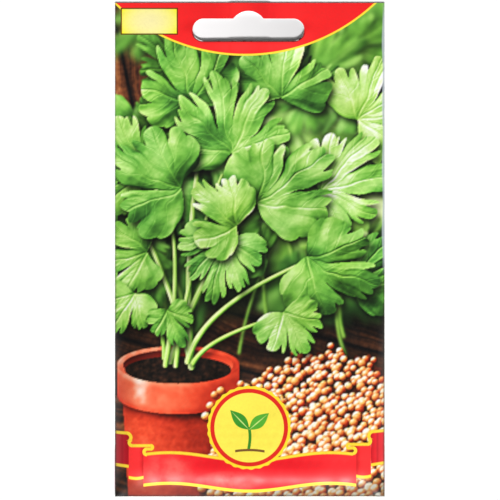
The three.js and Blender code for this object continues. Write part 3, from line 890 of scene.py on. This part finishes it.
# Front of the sheet
# The printed front with the outer half of each fold, one stretch of the sheet. Its outside has a point
# every third of a millimetre, which hold the printed picture; its inside, which nobody sees, has few.
FINE_STEP = 0.338 * MM
HEADER_STEP = 0.5 * MM
HEADER_FOOT = 127 * MM  # above here the print is plain and the points lie further apart
INSIDE_STEP, INSIDE_HEADER_STEP = 3.3 * MM, 1.2 * MM
INSIDE_FROM_SIDE = np.array([22, 20, 18, 16, 11, 8, 6, 4.5, 3, 2, 1, 0.4, 0]) * MM
INSIDE_FROM_FOOT = np.array([0.5, 1, 2, 3, 4.5, 6, 8]) * MM
INSIDE_MIDDLE_XS = [8.6 * MM, 11 * MM, 13.7 * MM]
ARC_STEPS = 4  # round a quarter of a fold
HIDDEN_DEPTH = 0.3 * MM
WAVES = ((31 * MM, 0.4, 1.0), (19 * MM, 2.1, 0.6), (11 * MM, 1.3, 0.3))  # length, turn and share of each
WAVE_RELIEF = 0.09 * MM
SEED_RELIEF = 0.06 * MM
PUCKER_RELIEF = 0.035 * MM
CREASE_RELIEF = 0.05 * MM
CREASE_X, CREASE_WIDTH = -36.35 * MM, 0.35 * MM
SLOT_RELIEF, SLOT_SPRING = 0.4 * MM, 2.4 * MM  # how far the slot's edge is sprung up, and over what width
SLOT_REACH = (SLOT_LENGTH - SLOT_WIDTH) / 2  # from its middle to where its round ends begin
SLOT_UP = PACKET_HEIGHT - SLOT_BOTTOM + SLOT_WIDTH / 2
PUNCH_DEPTH = 6 * MM
PUNCH_STEPS = 28  # round each of its arcs
SHARPEST_FOLD = radians(40)
POINT_SOFTNESS = 0.09  # how far the picture is softened, in millimetres, for the points to hold it
outer_fold = FOLD_RADIUS + PAPER / 2
inner_fold = FOLD_RADIUS - PAPER / 2
fold_x = HALF_WIDTH - outer_fold
bottom_outer = BOTTOM_RADIUS + PAPER / 2
fold_up = bottom_outer


def evenly(start, end, step):
    return np.linspace(start, end, max(2, round((end - start) / step) + 1))


def waves(x, up, length, turn):
    """Crossed waves of a length, turned so that they follow no edge."""
    along = (x * cos(turn) + up * sin(turn)) * 2 * pi / length
    across = (up * cos(turn) - x * sin(turn)) * 2 * pi / length
    return np.sin(along + 1.7 * np.sin(across * 0.6)) * np.cos(across * 0.8 + turn)


def over_seeds(x, up):
    """How far the paper follows the seeds under it: 1 on top of one, 0 between them."""
    nearest = np.full(np.shape(x), 9.0)
    for (seed_x, seed_up), radius in zip(seed_spots, seed_radii):
        nearest = np.minimum(nearest, np.hypot(x - seed_x, up - seed_up) / radius)
    return bell(nearest, 0.85)


def relief(x, up):
    """What handling adds to the even swelling: soft waves, puckers that start from the folds, the seeds
    pressed against the paper, a crease along the left side, and the sprung edge of the punched slot."""
    from_side, from_top = HALF_WIDTH - np.abs(x), PACKET_HEIGHT - up
    clear = ease(0, 6 * MM, from_side) * ease(0, 4 * MM, up) * ease(0, 8 * MM, from_top)
    soft = sum(share * waves(x, up, length, turn) for length, turn, share in WAVES)
    at_bottom = ease(0, 3 * MM, up) * ease(17 * MM, 4 * MM, up)
    puckers = np.sin(x / (1.25 * MM) + 1.6 * np.sin(x / (4.3 * MM))) * at_bottom
    at_side = ease(0, 3 * MM, from_side) * ease(14 * MM, 4 * MM, from_side) * ease(112 * MM, 60 * MM, up)
    puckers = puckers + 0.8 * np.sin(up / (1.9 * MM) + 2.0 * np.sin(up / (5.7 * MM) + x)) * at_side
    crease = bell(x - CREASE_X, CREASE_WIDTH) * ease(6 * MM, 12 * MM, up) * ease(46 * MM, 36 * MM, up)
    past_end = np.maximum(np.abs(x - SLOT_SHIFT) - SLOT_REACH, 0)
    above_slot = up - SLOT_UP
    from_slot = np.maximum(np.hypot(past_end, above_slot) - SLOT_WIDTH / 2, 0)
    sprung = bell(from_slot, SLOT_SPRING) * ease(3 * MM, -1 * MM, above_slot)
    lifts = clear * (WAVE_RELIEF * soft + SEED_RELIEF * over_seeds(x, up)) + PUCKER_RELIEF * puckers
    return lifts - CREASE_RELIEF * crease + SLOT_RELIEF * sprung


def front_outside(x, up):
    """The outside of the front, round both side folds and the bottom fold to half their thickness."""
    top = front_height(x, up) + PAPER / 2 + relief(x, up)
    middle = wing_lift(up) + PAPER / 2 + FOLD_RADIUS
    side = held((np.abs(x) - fold_x) / outer_fold)
    side_drop = outer_fold * (1 - np.sqrt(1 - side**2))
    bottom = held((fold_up - up) / bottom_outer)
    bottom_drop = (top - PAPER / 2 - BOTTOM_RADIUS) * (1 - np.sqrt(1 - bottom**2))
    return np.maximum(top - side_drop - bottom_drop, middle)


def front_inside(x, up):
    """The inside of the front. Away from the edges and the slot, where nobody sees its thickness, it
    lies a little deeper, because it has fewer points than the outside."""
    hidden = ease(3 * MM, 8 * MM, HALF_WIDTH - np.abs(x)) * ease(2 * MM, 8 * MM, up)
    hidden = hidden * ease(2 * MM, 12 * MM, SWELL_END - up)
    top = front_height(x, up) + relief(x, up) - PAPER / 2 - HIDDEN_DEPTH * hidden
    middle = wing_lift(up) + PAPER / 2 + FOLD_RADIUS
    drop = np.where(np.abs(x) > fold_x + 0.1 * inner_fold, inner_fold, 0)
    return np.where(up < fold_up, np.minimum(top, PAPER / 2 + BOTTOM_RADIUS), np.maximum(top - drop, middle))


def lace(first, second, first_at, second_at):
    """Triangles between two rows of points that run side by side."""
    faces, n, m = [], 0, 0
    while n < len(first) - 1 or m < len(second) - 1:
        if m == len(second) - 1 or (n < len(first) - 1 and first_at[n + 1] <= second_at[m + 1]):
            faces.append((first[n], first[n + 1], second[m]))
            n += 1
        else:
            faces.append((first[n], second[m + 1], second[m]))
            m += 1
    return faces


def point_grid(xs, ups, height):
    x, up = np.meshgrid(xs, ups)
    return np.stack([x, up - HALF_HEIGHT, height(x, up)], -1)


def grid_faces(rows, columns, first, flipped=False):
    faces = []
    for j in range(rows - 1):
        low = first + j * columns
        for i in range(low, low + columns - 1):
            face = (i, i + 1, i + columns + 1, i + columns)
            faces.append(face[::-1] if flipped else face)
    return faces


quarter = np.sin(np.linspace(0, pi / 2, ARC_STEPS + 1))
right_fold = fold_x + outer_fold * quarter[1:]
fine_xs = np.concatenate([-right_fold[::-1], evenly(-fold_x, fold_x, FINE_STEP), right_fold])
bottom_arc = fold_up - bottom_outer * quarter[:0:-1]
picture_ups = evenly(fold_up, HEADER_FOOT, FINE_STEP)
fine_ups = np.concatenate([bottom_arc, picture_ups, evenly(HEADER_FOOT, PACKET_HEIGHT, HEADER_STEP)[1:]])
inside_x = HALF_WIDTH - PAPER
lap_foot = LAP_WIDTH / 2 + LAP_CLEARANCE
middle_xs = [0, lap_foot, lap_foot + LAP_RAMP, *INSIDE_MIDDLE_XS]
coarse_right = np.concatenate([middle_xs, fold_x - INSIDE_FROM_SIDE, [inside_x]])
coarse_xs = np.concatenate([-coarse_right[:0:-1], coarse_right])
low_rows = [[PAPER, fold_up + 0.01 * MM], fold_up + INSIDE_FROM_FOOT]
header_ups = evenly(HEADER_FOOT, PACKET_HEIGHT, INSIDE_HEADER_STEP)[1:]
coarse_ups = np.concatenate([*low_rows, evenly(12 * MM, HEADER_FOOT, INSIDE_STEP), header_ups])
outside = point_grid(fine_xs, fine_ups, front_outside)
inside = point_grid(coarse_xs, coarse_ups, front_inside)
rows, columns = outside.shape[:2]
inner_rows, inner_columns = inside.shape[:2]
outer_index = np.arange(rows * columns).reshape(rows, columns)
inner_index = rows * columns + np.arange(inner_rows * inner_columns).reshape(inner_rows, inner_columns)
front_faces = grid_faces(rows, columns, 0)
printed_count = len(front_faces)
front_faces += grid_faces(inner_rows, inner_columns, rows * columns, flipped=True)
x_shares = (fine_xs + HALF_WIDTH) / (2 * HALF_WIDTH), (coarse_xs + inside_x) / (2 * inside_x)
up_shares = fine_ups / PACKET_HEIGHT, (coarse_ups - coarse_ups[0]) / (PACKET_HEIGHT - coarse_ups[0])
front_faces += [face[::-1] for face in lace(outer_index[0], inner_index[0], *x_shares)]
front_faces += lace(outer_index[-1], inner_index[-1], *x_shares)
front_faces += lace(outer_index[:, 0], inner_index[:, 0], *up_shares)
front_faces += [face[::-1] for face in lace(outer_index[:, -1], inner_index[:, -1], *up_shares)]
front_points = np.concatenate([outside.reshape(-1, 3), inside.reshape(-1, 3)])

bare_paper, where = start_material("bare_paper")
fibres = where.noise(3500, detail=4, roughness=0.7)
paper_colour = fibres.mix((0.72, 0.72, 0.71, 1), (0.86, 0.86, 0.85, 1))
paper_bump = fibres.bump(0.3, 0.02 * MM)
give_finish(where, {"Base Color": paper_colour, "Roughness": 0.75 + 0.15 * fibres, "Normal": paper_bump})


def paper_piece(name, points, faces, printed_count, print_material):
    """A piece of the sheet. Its first faces are printed, the rest are bare paper."""
    mesh = new_mesh(name, points.tolist(), [tuple(map(int, face)) for face in faces])
    mesh.materials.append(print_material)
    mesh.materials.append(bare_paper)
    mesh.polygons.foreach_set("material_index", [0] * printed_count + [1] * (len(faces) - printed_count))
    return add_object(name, mesh)


def slot_punch(shorter, raised):
    """A solid of the euro slot's shape: a long hole with round ends and a bump over its middle."""
    end_radius = SLOT_WIDTH / 2
    end_x = SLOT_LENGTH / 2 - end_radius - shorter
    middle_y = HALF_HEIGHT - SLOT_BOTTOM + end_radius + raised
    bump_y = middle_y + end_radius + BUMP_RISE - BUMP_RADIUS
    bump_foot = asin((BUMP_RADIUS - BUMP_RISE) / BUMP_RADIUS)
    outline = []
    for x, y, radius, start, end in (
        (SLOT_SHIFT + end_x, middle_y, end_radius, -pi / 2, pi / 2),
        (SLOT_SHIFT, bump_y, BUMP_RADIUS, bump_foot, pi - bump_foot),
        (SLOT_SHIFT - end_x, middle_y, end_radius, pi / 2, 3 * pi / 2),
    ):
        for k in range(PUNCH_STEPS + 1):
            turn = start + (end - start) * k / PUNCH_STEPS
            outline.append((x + radius * cos(turn), y + radius * sin(turn)))
    around = len(outline)
    points = [(x, y, z) for z in (-PUNCH_DEPTH / 2, PUNCH_DEPTH / 2) for x, y in outline]
    faces = [(n, (n + 1) % around, around + (n + 1) % around, around + n) for n in range(around)]
    faces += [tuple(range(around))[::-1], tuple(range(around, 2 * around))]
    return add_object("slot_punch", new_mesh("slot_punch", points, faces))


def punch_slot(piece, shorter=0.0, raised=0.0):
    """Punches the slot through a piece; the cut faces are bare paper."""
    punch = slot_punch(shorter, raised)
    punch.data.materials.append(bare_paper)
    cutting = piece.modifiers.new("slot", "BOOLEAN")
    cutting.operation = "DIFFERENCE"
    cutting.solver = "MANIFOLD"
    cutting.object = punch
    cutting.material_mode = "TRANSFER"
    settle_modifiers(piece)
    bpy.data.objects.remove(punch)


def soften_folds(piece):
    piece.data.shade_smooth()
    piece.data.set_sharp_from_angle(angle=SHARPEST_FOLD)


def linear(colour):
    """Linear light from colours as they are shown."""
    return np.where(colour <= 0.04045, colour / 12.92, ((colour + 0.055) / 1.055) ** 2.4)


def shown(red, green, blue):
    """A colour as it is seen on the print, of 255, as linear light."""
    return (*linear(np.array([red, green, blue]) / 255).tolist(), 1)


def print_picture(mesh):
    """Gives each point of a mesh the colour of the canvas over it."""
    count = len(mesh.vertices)
    points = np.empty(3 * count)
    mesh.vertices.foreach_get("co", points)
    points = points.reshape(-1, 3) / MM
    softened = blur(canvas, POINT_SOFTNESS)
    column = np.clip((points[:, 0] + picture_half) * CANVAS_FINENESS, 0, canvas.shape[1] - 1.001)
    row = np.clip((points[:, 1] + picture_top / 2) * CANVAS_FINENESS, 0, canvas.shape[0] - 1.001)
    left, below = column.astype(int), row.astype(int)
    past_left, past_below = (column - left)[:, None], (row - below)[:, None]
    low = softened[below, left] * (1 - past_left) + softened[below, left + 1] * past_left
    high = softened[below + 1, left] * (1 - past_left) + softened[below + 1, left + 1] * past_left
    colours = np.ones((count, 4))
    colours[:, :3] = linear(held(low * (1 - past_below) + high * past_below))
    mesh.attributes.new("picture", "FLOAT_COLOR", "POINT").data.foreach_set("color", colours.ravel())


# The print over the picture. All its places and sizes are in millimetres, across from the middle and up
# from the bottom edge.
PRINT_EDGE = 0.16  # softness of a printed edge
ARC_MIDDLE, ARC_RADIUS, ARC_LINE = (-1.35, 180.8), 54.0, 0.55
LABEL_LEFT, LABEL_RIGHT, LABEL_LOW, LABEL_HIGH = -37.0, -20.6, 132.3, 140.0
LABEL_LINE = 0.35
RIBBON_UP, RIBBON_HALF, RIBBON_EDGE = 7.2, 4.4, 0.92
RIBBON_WAVE, RIBBON_SWAY = 1.15, pi / 23  # how high it waves, and how fast
RIBBON_TILT = 0.006
RIBBON_END, FOLD_START, FOLD_END = 30.4, 30.1, 34.6  # the front length's end, and the folded length's
CURLS = ((29.4, 0.8), (28.3, 0.5), (33.6, 0.85))  # side and radius of each turn of its edge, from the front
FOLD_FOOT, FOLD_SAG = 5.85, 0.3
FOLD_LAP = 0.05  # how far above the middle of its edge the folded length's red begins
CURL_CUT = 0.6  # how far above its middle the fold's curl is cut off by the tail's
TAIL_SIDE, TAIL_RISE, TAIL_RADIUS = 35.3, 0.85, 1.3  # the tail's own curl
TAIL_FOOT, TAIL_FOOT_TILT, TAIL_TOP_TILT = 9.0, 0.12, 0.05
PLEAT_SIDE = 36.5
SHEEN_PATCHES = ((-24, 7.5, 8, 5), (-6, 4.5, 9, 2.8))  # middles and half sizes of two patches of painted sheen on the red
ROUNDEL_MIDDLE = (-0.2, 19.9)
ROUNDEL_RINGS = ((11.9, (255, 224, 48)), (11.1, (226, 40, 30)), (9.93, (255, 236, 84)))
SCALLOPS, SCALLOP_DEPTH = 30, 0.13
FORK_DEPTH, GROUND_DEPTH = 0.6, 6.4  # of the sprout's fork and the ground, under the roundel's middle
STALK_HALF, GROUND_HALF, GROUND_REACH = 0.42, 0.35, 4.2
LEAF_WIDTH, LEAF_RIB_WIDTH = 1.75, 0.16
SPROUT_LEAVES = ((radians(50), 7.4, (88, 176, 52)), (radians(-44), 7.8, (60, 150, 44)))
UNPRINTED_SIDE, UNPRINTED_LOW, UNPRINTED_HIGH, UNPRINTED_FADE = 38.0, 66, 139.4, 5
EDGE_SHADE_SIDE = 38.25
YELLOW = (255, 224, 60)


def past(value, edge):
    """1 where a value is past the edge of something printed."""
    return value.over(edge, PRINT_EDGE)


def before(value, edge):
    return 1 - past(value, edge)


def within(value, low, high):
    return value.between(low, high, PRINT_EDGE)


def distance(across, up, middle):
    return ((across - middle[0]) ** 2 + (up - middle[1]) ** 2) ** 0.5


class Print:
    """The colour of a printed surface, to which inks are added one over the other."""

    def __init__(self, colour):
        self.colour = colour

    def add(self, cover, colour):
        """Prints a colour, of 255 if it is plain, where the cover is 1."""
        self.colour = cover.mix(self.colour, shown(*colour) if isinstance(colour, tuple) else colour)

    def add_header(self, across, up):
        """A red header above a round arc with a yellow edge. Its red carries painted light and shade in soft
        upright bands, from waves in the paper.
        """
        from_centre = distance(across, up, ARC_MIDDLE)
        # painted light and shade of soft waves in the paper, in upright bands
        wave_light_and_shade = (across * 0.23 + (across * 0.11).wave() * 2.0).wave() * 0.5 + 0.5
        wave_light_and_shade = wave_light_and_shade * (0.35 + 0.3 * (up * 0.05).wave())
        self.add(before(from_centre, ARC_RADIUS + ARC_LINE), YELLOW)
        self.add(before(from_centre, ARC_RADIUS), wave_light_and_shade.mix(shown(251, 40, 41), shown(222, 20, 26)))

    def add_edging(self, off, cover):
        """A ribbon's yellow edge, a little deeper in colour along its rims, where off is from its middle."""
        gold = (abs(off) * (2 / RIBBON_EDGE)).over(0.75, 0.7).mix(shown(253, 222, 60), shown(242, 172, 40))
        self.add(within(off, -RIBBON_EDGE / 2, RIBBON_EDGE / 2) * cover, gold)


def print_place(where):
    across = where.node("ShaderNodeSeparateXYZ", {}, {0: where}, output="X")
    return across / MM, across.beside("Y") / MM + HALF_HEIGHT / MM


def curl(turn, turned):
    """Half a turn of the ribbon's edge where it folds: the outer half where turned is 1, else the inner."""
    at_side, at_up, radius = turn
    off = distance(side, lifted, (at_side, at_up)) - radius
    return within(off, -RIBBON_EDGE / 2, RIBBON_EDGE / 2) * past((side - at_side) * turned, 0)


printed_front, where = start_material("printed_front")
across, up = print_place(where)
face = Print(where.node("ShaderNodeAttribute", {"attribute_name": "picture"}, output="Color"))
face.add_header(across, up)

from_label_x = abs(across - (LABEL_LEFT + LABEL_RIGHT) / 2) / ((LABEL_RIGHT - LABEL_LEFT) / 2)
from_label_y = abs(up - (LABEL_LOW + LABEL_HIGH) / 2) / ((LABEL_HIGH - LABEL_LOW) / 2)
label_glow = (from_label_x**2 * 0.8 + from_label_y**2 * 0.35).held()
label_yellow = label_glow.mix(shown(251, 240, 172), shown(250, 242, 24))
for line, colour in ((0, (96, 44, 10)), (LABEL_LINE, label_yellow)):
    label = within(across, LABEL_LEFT + line, LABEL_RIGHT - line)
    face.add(label * within(up, LABEL_LOW + line, LABEL_HIGH - line), colour)

# The ribbon, from its tails behind to the front length. Its edge turns up and back where it folds.
side = abs(across)
lifted = up - RIBBON_TILT * across
strip_up = RIBBON_UP - RIBBON_WAVE * cos(CURLS[0][0] * RIBBON_SWAY) + RIBBON_HALF
strip_ups, turns = [strip_up], []
for at_side, radius in CURLS:
    turns.append((at_side, strip_up + radius, radius))
    strip_up += 2 * radius
    strip_ups.append(strip_up)
front_turn, tip_turn, fold_turn = turns
curl_cut = fold_turn[1] + CURL_CUT
tail_turn = (TAIL_SIDE, curl_cut + TAIL_RISE, TAIL_RADIUS)
tail_top = tail_turn[1] + TAIL_RADIUS

past_tail_turn, past_fold = past(side, TAIL_SIDE), past(side, FOLD_END)
in_tail_turn = distance(side, lifted, tail_turn)
above_foot = lifted - (TAIL_FOOT + TAIL_FOOT_TILT * (side - FOLD_END))
above_top = lifted - (tail_top + TAIL_TOP_TILT * (side - TAIL_SIDE))
tail_cover = (past_tail_turn * before(lifted, tail_top)).larger(before(in_tail_turn, TAIL_RADIUS))
tail_cover = tail_cover.larger(past_fold * before(lifted, curl_cut)) * past(above_foot, 0)
tail = Print((across / 60 + 0.5).held().mix(shown(186, 16, 34), shown(232, 34, 44)))
tail.add(0.35 * abs(side - PLEAT_SIDE).under(0.2, 0.5), (120, 8, 16))
tail.add(0.5 * (side - FOLD_END).under(0.5, 1.2), (150, 12, 22))
face.add(tail_cover, tail.colour)
face.add_edging(above_foot, past_fold)
face.add_edging(above_top, past_tail_turn)
face.add(curl(tail_turn, -1) * past(lifted, curl_cut), (255, 220, 56))

on_fold = within(side, FOLD_START, FOLD_END)
fold_low = FOLD_FOOT - FOLD_SAG * ((side - RIBBON_END) * (pi / (FOLD_END - RIBBON_END))).wave()
fold_red = (side - RIBBON_END).over(0.5, 1.6).mix(shown(196, 22, 30), shown(255, 50, 52))
face.add(on_fold * within(lifted, FOLD_FOOT + FOLD_LAP, strip_ups[2]), fold_red)
face.add_edging(lifted - fold_low, on_fold)
face.add(curl(fold_turn, 1) * before(lifted, curl_cut), (255, 224, 56))
face.add_edging(lifted - strip_ups[2], within(side, tip_turn[0], fold_turn[0]))
face.add(curl(tip_turn, -1), (255, 218, 50))
face.add_edging(lifted - strip_ups[1], within(side, tip_turn[0], front_turn[0]))

on_front = before(side, RIBBON_END)
off_ribbon = up - (RIBBON_UP - RIBBON_WAVE * (across * RIBBON_SWAY + pi / 2).wave())
front_red = ((side * 0.17).wave() * 0.5 + 0.5).mix(shown(255, 44, 50), shown(238, 24, 36))
# Two pale patches of painted sheen on the front length's red, broken up by noise.
sheen_breakup = where.noise(260, detail=3).over(0.5, 0.5)
painted_sheen = 0
for at_across, at_up, half_across, half_up in SHEEN_PATCHES:
    off_patch = ((across - at_across) / half_across) ** 2 + ((up - at_up) / half_up) ** 2
    painted_sheen = off_patch.under(0.5, 1.6).larger(painted_sheen)
front_red = (painted_sheen * sheen_breakup * 0.3).mix(front_red, shown(255, 205, 185))
face.add(before(abs(off_ribbon), RIBBON_HALF) * on_front, front_red)
face.add_edging(off_ribbon + RIBBON_HALF, on_front)
face.add_edging(off_ribbon - RIBBON_HALF, before(side, front_turn[0]))
face.add(curl(front_turn, 1), (255, 226, 60))

# The roundel, with a sprout on it.
roundel_x, roundel_y = across - ROUNDEL_MIDDLE[0], up - ROUNDEL_MIDDLE[1]
above_fork = roundel_y + FORK_DEPTH
from_roundel = distance(across, up, ROUNDEL_MIDDLE)
scallop = SCALLOP_DEPTH * (roundel_y.maths("ARCTAN2", roundel_y, roundel_x) * SCALLOPS).wave()
for ring, (radius, colour) in zip((from_roundel + scallop, from_roundel, from_roundel), ROUNDEL_RINGS):
    face.add(before(ring, radius), colour)


def sprout_leaf(lean, length, width):
    """Where a pointed leaf that leaves the sprout's fork at a lean covers the roundel."""
    out = roundel_x * sin(lean) + above_fork * cos(lean)
    off = abs(roundel_x * cos(lean) - above_fork * sin(lean))
    share = (out / length).held()
    inside_edge = width * (share * pi).wave() * (1.15 - 0.35 * share) - off
    return past(inside_edge, 0) * within(out, 0, length)


off_stalk = abs(roundel_x + 0.25 * (roundel_y * 0.6).wave())
off_ground = abs(roundel_y + GROUND_DEPTH + 0.02 * roundel_x**2)
face.add(before(off_stalk, STALK_HALF) * within(roundel_y, -GROUND_DEPTH, 0.2), (58, 140, 40))
face.add(before(off_ground, GROUND_HALF) * before(side, GROUND_REACH), (120, 84, 40))
for lean, length, leaf_green in SPROUT_LEAVES:
    face.add(sprout_leaf(lean, length, LEAF_WIDTH), leaf_green)
    face.add(sprout_leaf(lean, length * 0.9, LEAF_RIB_WIDTH), (205, 232, 130))

# Wear and painted shade: an unprinted strip by the right edge, painted shade along the side and bottom edges,
# a painted shadow along the slot's lower edge, and torn paper at the slot's corners.
unprinted = (across + 0.12 * (up * 0.35).wave()).over(UNPRINTED_SIDE, 0.4)
unprinted = unprinted * up.between(UNPRINTED_LOW, UNPRINTED_HIGH, UNPRINTED_FADE)
face.add(unprinted * 0.85, (196, 206, 212))
# painted shade along the side folds, stronger low down, and along the bottom fold
painted_edge_shade = side.over(EDGE_SHADE_SIDE, 0.6) * (0.75 - 0.45 * up.over(64, 40))
face.add(painted_edge_shade.larger(0.65 * up.under(0.5, 0.7)), (40, 36, 36))
past_slot = (abs(across - SLOT_SHIFT / MM) - SLOT_REACH / MM).larger(0)
above_slot = up - SLOT_UP / MM
from_slot = (past_slot**2 + above_slot**2) ** 0.5 - SLOT_WIDTH / 2 / MM
# A dark red line along the slot's lower edge is painted shadow of that edge.
face.add(from_slot.under(0.40, 0.28) * above_slot.under(-1.0, 2.0), (56, 6, 10))
chips = past_slot.between(0.3, 2.6, 0.8) * above_slot.under(-1.2, 0.8) * where.noise(700).over(0.42, 0.12)
face.add(0.85 * chips * from_slot.under(0.22, 0.12), (250, 240, 238))
face.add(where.noise(1500, detail=1).over(0.55, 0.4) * 0.06, (70, 66, 60))

smears = where.noise(90, detail=3)
ripple = where.noise(420) * 0.8 + where.noise(5200) * 0.2
give_finish(
    where,
    {
        "Base Color": face.colour,
        "Roughness": 0.36 + 0.16 * smears,
        "Normal": ripple.bump(0.35, 0.03 * MM),
        "Coat Weight": 0.05 + 0.13 * smears,
        "Specular IOR Level": 0.2,
        "Coat Roughness": 0.3,
    },
)

front = paper_piece("sheet_front", front_points, front_faces, printed_count, printed_front)
punch_slot(front)
print_picture(front.data)
soften_folds(front)
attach(front, "root")
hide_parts("paper_sheet")

# Wings and tab of the sheet
# The same sheet's wings, folded round the sides, lap down the middle of the back, and its tab, folded
# round the bottom, is glued over them. Their outside has a plain print: a red header and foot, a ruled
# frame and a row of twelve boxes for the months. The slot goes through all layers, not quite in line.
WING_STEP = 3 * MM
SLOT_SHORTER = 0.3 * MM  # the slot in the wings, against the front's
SLOT_RAISED = 0.15 * MM
BACK_FRAME = (33.5, 17.0, 119.0)  # half width, foot and top of the ruled frame, in millimetres
FRAME_LINES = ((-0.35, 0.35), (-1.5, -1.2))  # where its two lines start and end, outwards from these
BACK_MARGIN, BACK_FOOT, BACK_FOOT_LINE = 2.0, 13.5, 0.8  # the red band's foot and top, and its line's width
MONTH_BOX, MONTH_STEP, MONTH_UP = 4.0, 4.9, 25.0
SOWING = (-15.0, 10.0)  # the months filled in green lie between these
RULES = (36.0, 112.0, 4.0)  # the pale rules for notes: first, last and step
lowest_up = FOLD_EDGE + BOTTOM_RADIUS
tab_edge = TAB_DEPTH + LAP_CLEARANCE


def from_nearest(share):
    """How far a count of steps is from the nearest whole one."""
    return abs(share - share.maths("ROUND", share))


printed_back, where = start_material("printed_back")
across, up = print_place(where)
side = abs(across)
frame_half, frame_foot, frame_top = BACK_FRAME
first_rule, last_rule, rule_step = RULES
speckle = where.noise(1400, detail=3)
back = Print(speckle.mix(shown(247, 243, 222), shown(252, 250, 236)))
on_rule = from_nearest((up - first_rule) / rule_step).under(0.03, 0.03) * before(side, frame_half - 4)
back.add(0.5 * on_rule * within(up, first_rule - 1, last_rule + 1), (150, 180, 130))
from_frame = (side - frame_half).larger(abs(up - (frame_foot + frame_top) / 2) - (frame_top - frame_foot) / 2)
for line in FRAME_LINES:
    back.add(within(from_frame, *line), (64, 140, 52))
from_box = from_nearest(across / MONTH_STEP - 0.5) * MONTH_STEP
from_box = from_box.larger(abs(up - MONTH_UP)) - MONTH_BOX / 2
back.add(before(from_box, -0.3) * within(across, *SOWING), (120, 190, 70))
back.add(within(from_box, -0.25, 0.05) * before(side, 6 * MONTH_STEP), (40, 90, 36))
back.add_header(across, up)
back.add(within(up, BACK_MARGIN, BACK_FOOT + BACK_FOOT_LINE), YELLOW)
back.add(within(up, BACK_MARGIN, BACK_FOOT), (236, 28, 36))
smears = where.noise(90, detail=3)
give_finish(
    where,
    {
        "Base Color": back.colour,
        "Roughness": 0.38 + 0.16 * smears,
        "Normal": speckle.bump(0.3, 0.02 * MM),
        "Coat Weight": 0.12 + 0.2 * smears,
        "Specular IOR Level": 0.3,
        "Coat Roughness": 0.18,
    },
)


def folded_sheet(name, xs, ups, height, widths=1.0):
    """Closed paper from a grid of points along its middle, printed on its outside. The outside is where
    the columns' direction crossed with the rows' direction points."""
    x, up = np.meshgrid(xs, ups)
    middle = np.stack([x * widths, up - HALF_HEIGHT, height], -1)
    outward = np.cross(np.gradient(middle, axis=1), np.gradient(middle, axis=0))
    outward *= PAPER / 2 / np.linalg.norm(outward, axis=-1, keepdims=True)
    rows, columns = middle.shape[:2]
    outer = np.arange(rows * columns).reshape(rows, columns)
    inner = outer + rows * columns
    faces = grid_faces(rows, columns, 0)
    printed_count = len(faces)
    faces += grid_faces(rows, columns, rows * columns, flipped=True)
    ends = (outer[0], inner[0]), (inner[-1], outer[-1])
    sides = (inner[:, 0], outer[:, 0]), (outer[:, -1], inner[:, -1])
    for one, other in (*ends, *sides):
        faces += [(one[n + 1], one[n], other[n], other[n + 1]) for n in range(len(one) - 1)]
    points = np.concatenate([(middle + outward).reshape(-1, 3), (middle - outward).reshape(-1, 3)])
    return paper_piece(name, points, faces, printed_count, printed_back)


fold_turns = np.linspace(0, pi / 2, ARC_STEPS + 1)[1:]
fold_middle_x = fold_x + FOLD_RADIUS * np.sin(fold_turns)
fold_rise = FOLD_RADIUS * (1 - np.cos(fold_turns))
over_tab_ups = evenly(lowest_up, tab_edge, WING_STEP)
wing_ups = np.concatenate([over_tab_ups, evenly(tab_edge + TAB_RAMP, PACKET_HEIGHT, WING_STEP)])
lapped = evenly(-lap_foot, LAP_WIDTH / 2, WING_STEP)[::-1]
left_flat = -evenly(lap_foot + LAP_RAMP, fold_x, WING_STEP)
left_xs = np.concatenate([lapped, left_flat, -fold_middle_x])
left_rise = np.concatenate([np.full(len(lapped), LAYER), np.zeros(len(left_flat)), fold_rise])
right_flat = evenly(-LAP_WIDTH / 2, fold_x, WING_STEP)[::-1]
right_xs = np.concatenate([fold_middle_x[::-1], right_flat])
right_rise = np.concatenate([fold_rise[::-1], np.zeros(len(right_flat))])
wings = []
for name, xs, rise in (("wing_left", left_xs, left_rise), ("wing_right", right_xs, right_rise)):
    wing = folded_sheet(name, xs, wing_ups, wing_lift(wing_ups)[:, None] + PAPER / 2 + rise)
    punch_slot(wing, shorter=SLOT_SHORTER, raised=SLOT_RAISED)
    wings.append(wing)

tab_half = fold_x - TAB_INSET
tab_turns = np.linspace(pi / 2, 0, 2 * ARC_STEPS + 1)
tab_flat = evenly(fold_up, TAB_DEPTH, WING_STEP)[1:]
tab_xs = evenly(-tab_half, tab_half, WING_STEP)[::-1]
tab_ups = np.concatenate([fold_up - BOTTOM_RADIUS * np.sin(tab_turns), tab_flat])
tab_rise = np.concatenate([BOTTOM_RADIUS * (1 - np.cos(tab_turns)), np.zeros(len(tab_flat))])
tab_height = np.tile((PAPER / 2 + tab_rise)[:, None], len(tab_xs))
narrowed = 1 - TAB_TAPER * held((tab_ups - fold_up) / (TAB_DEPTH - fold_up))[:, None]
tab = folded_sheet("tab", tab_xs, tab_ups, tab_height, narrowed)
for piece in (*wings, tab):
    soften_folds(piece)
    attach(piece, "root")
    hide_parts("paper_sheet")

# Glue
# Dried paper glue in the lap, under the tab and between the front and the wings at the top, in films
# that the press has spread. They are cut from the sizes of the sheet and keep their places.
dried_glue, where = start_material("dried_glue")
rolled = where.node("ShaderNodeMapping", {}, {"Vector": where, "Scale": (1, 0.12, 1)}).noise(1800, detail=3)
bubbles = where.noise(2600, detail=1)
glue_colour = rolled.over(0.5, 0.4).mix((0.60, 0.52, 0.36, 1), (0.80, 0.75, 0.62, 1))
glue_colour = bubbles.over(0.68, 0.06).mix(glue_colour, (0.88, 0.86, 0.80, 1))
glue_bump = (rolled + 0.5 * bubbles).bump(0.4, 0.03 * MM)
give_finish(where, {"Base Color": glue_colour, "Roughness": 0.32 + 0.25 * rolled, "Normal": glue_bump})
for node in ("seam_glue", "tab_glue", "top_glue"):
    for finish_slot in frame["nodes"][node].material_slots:
        finish_slot.material = dried_glue
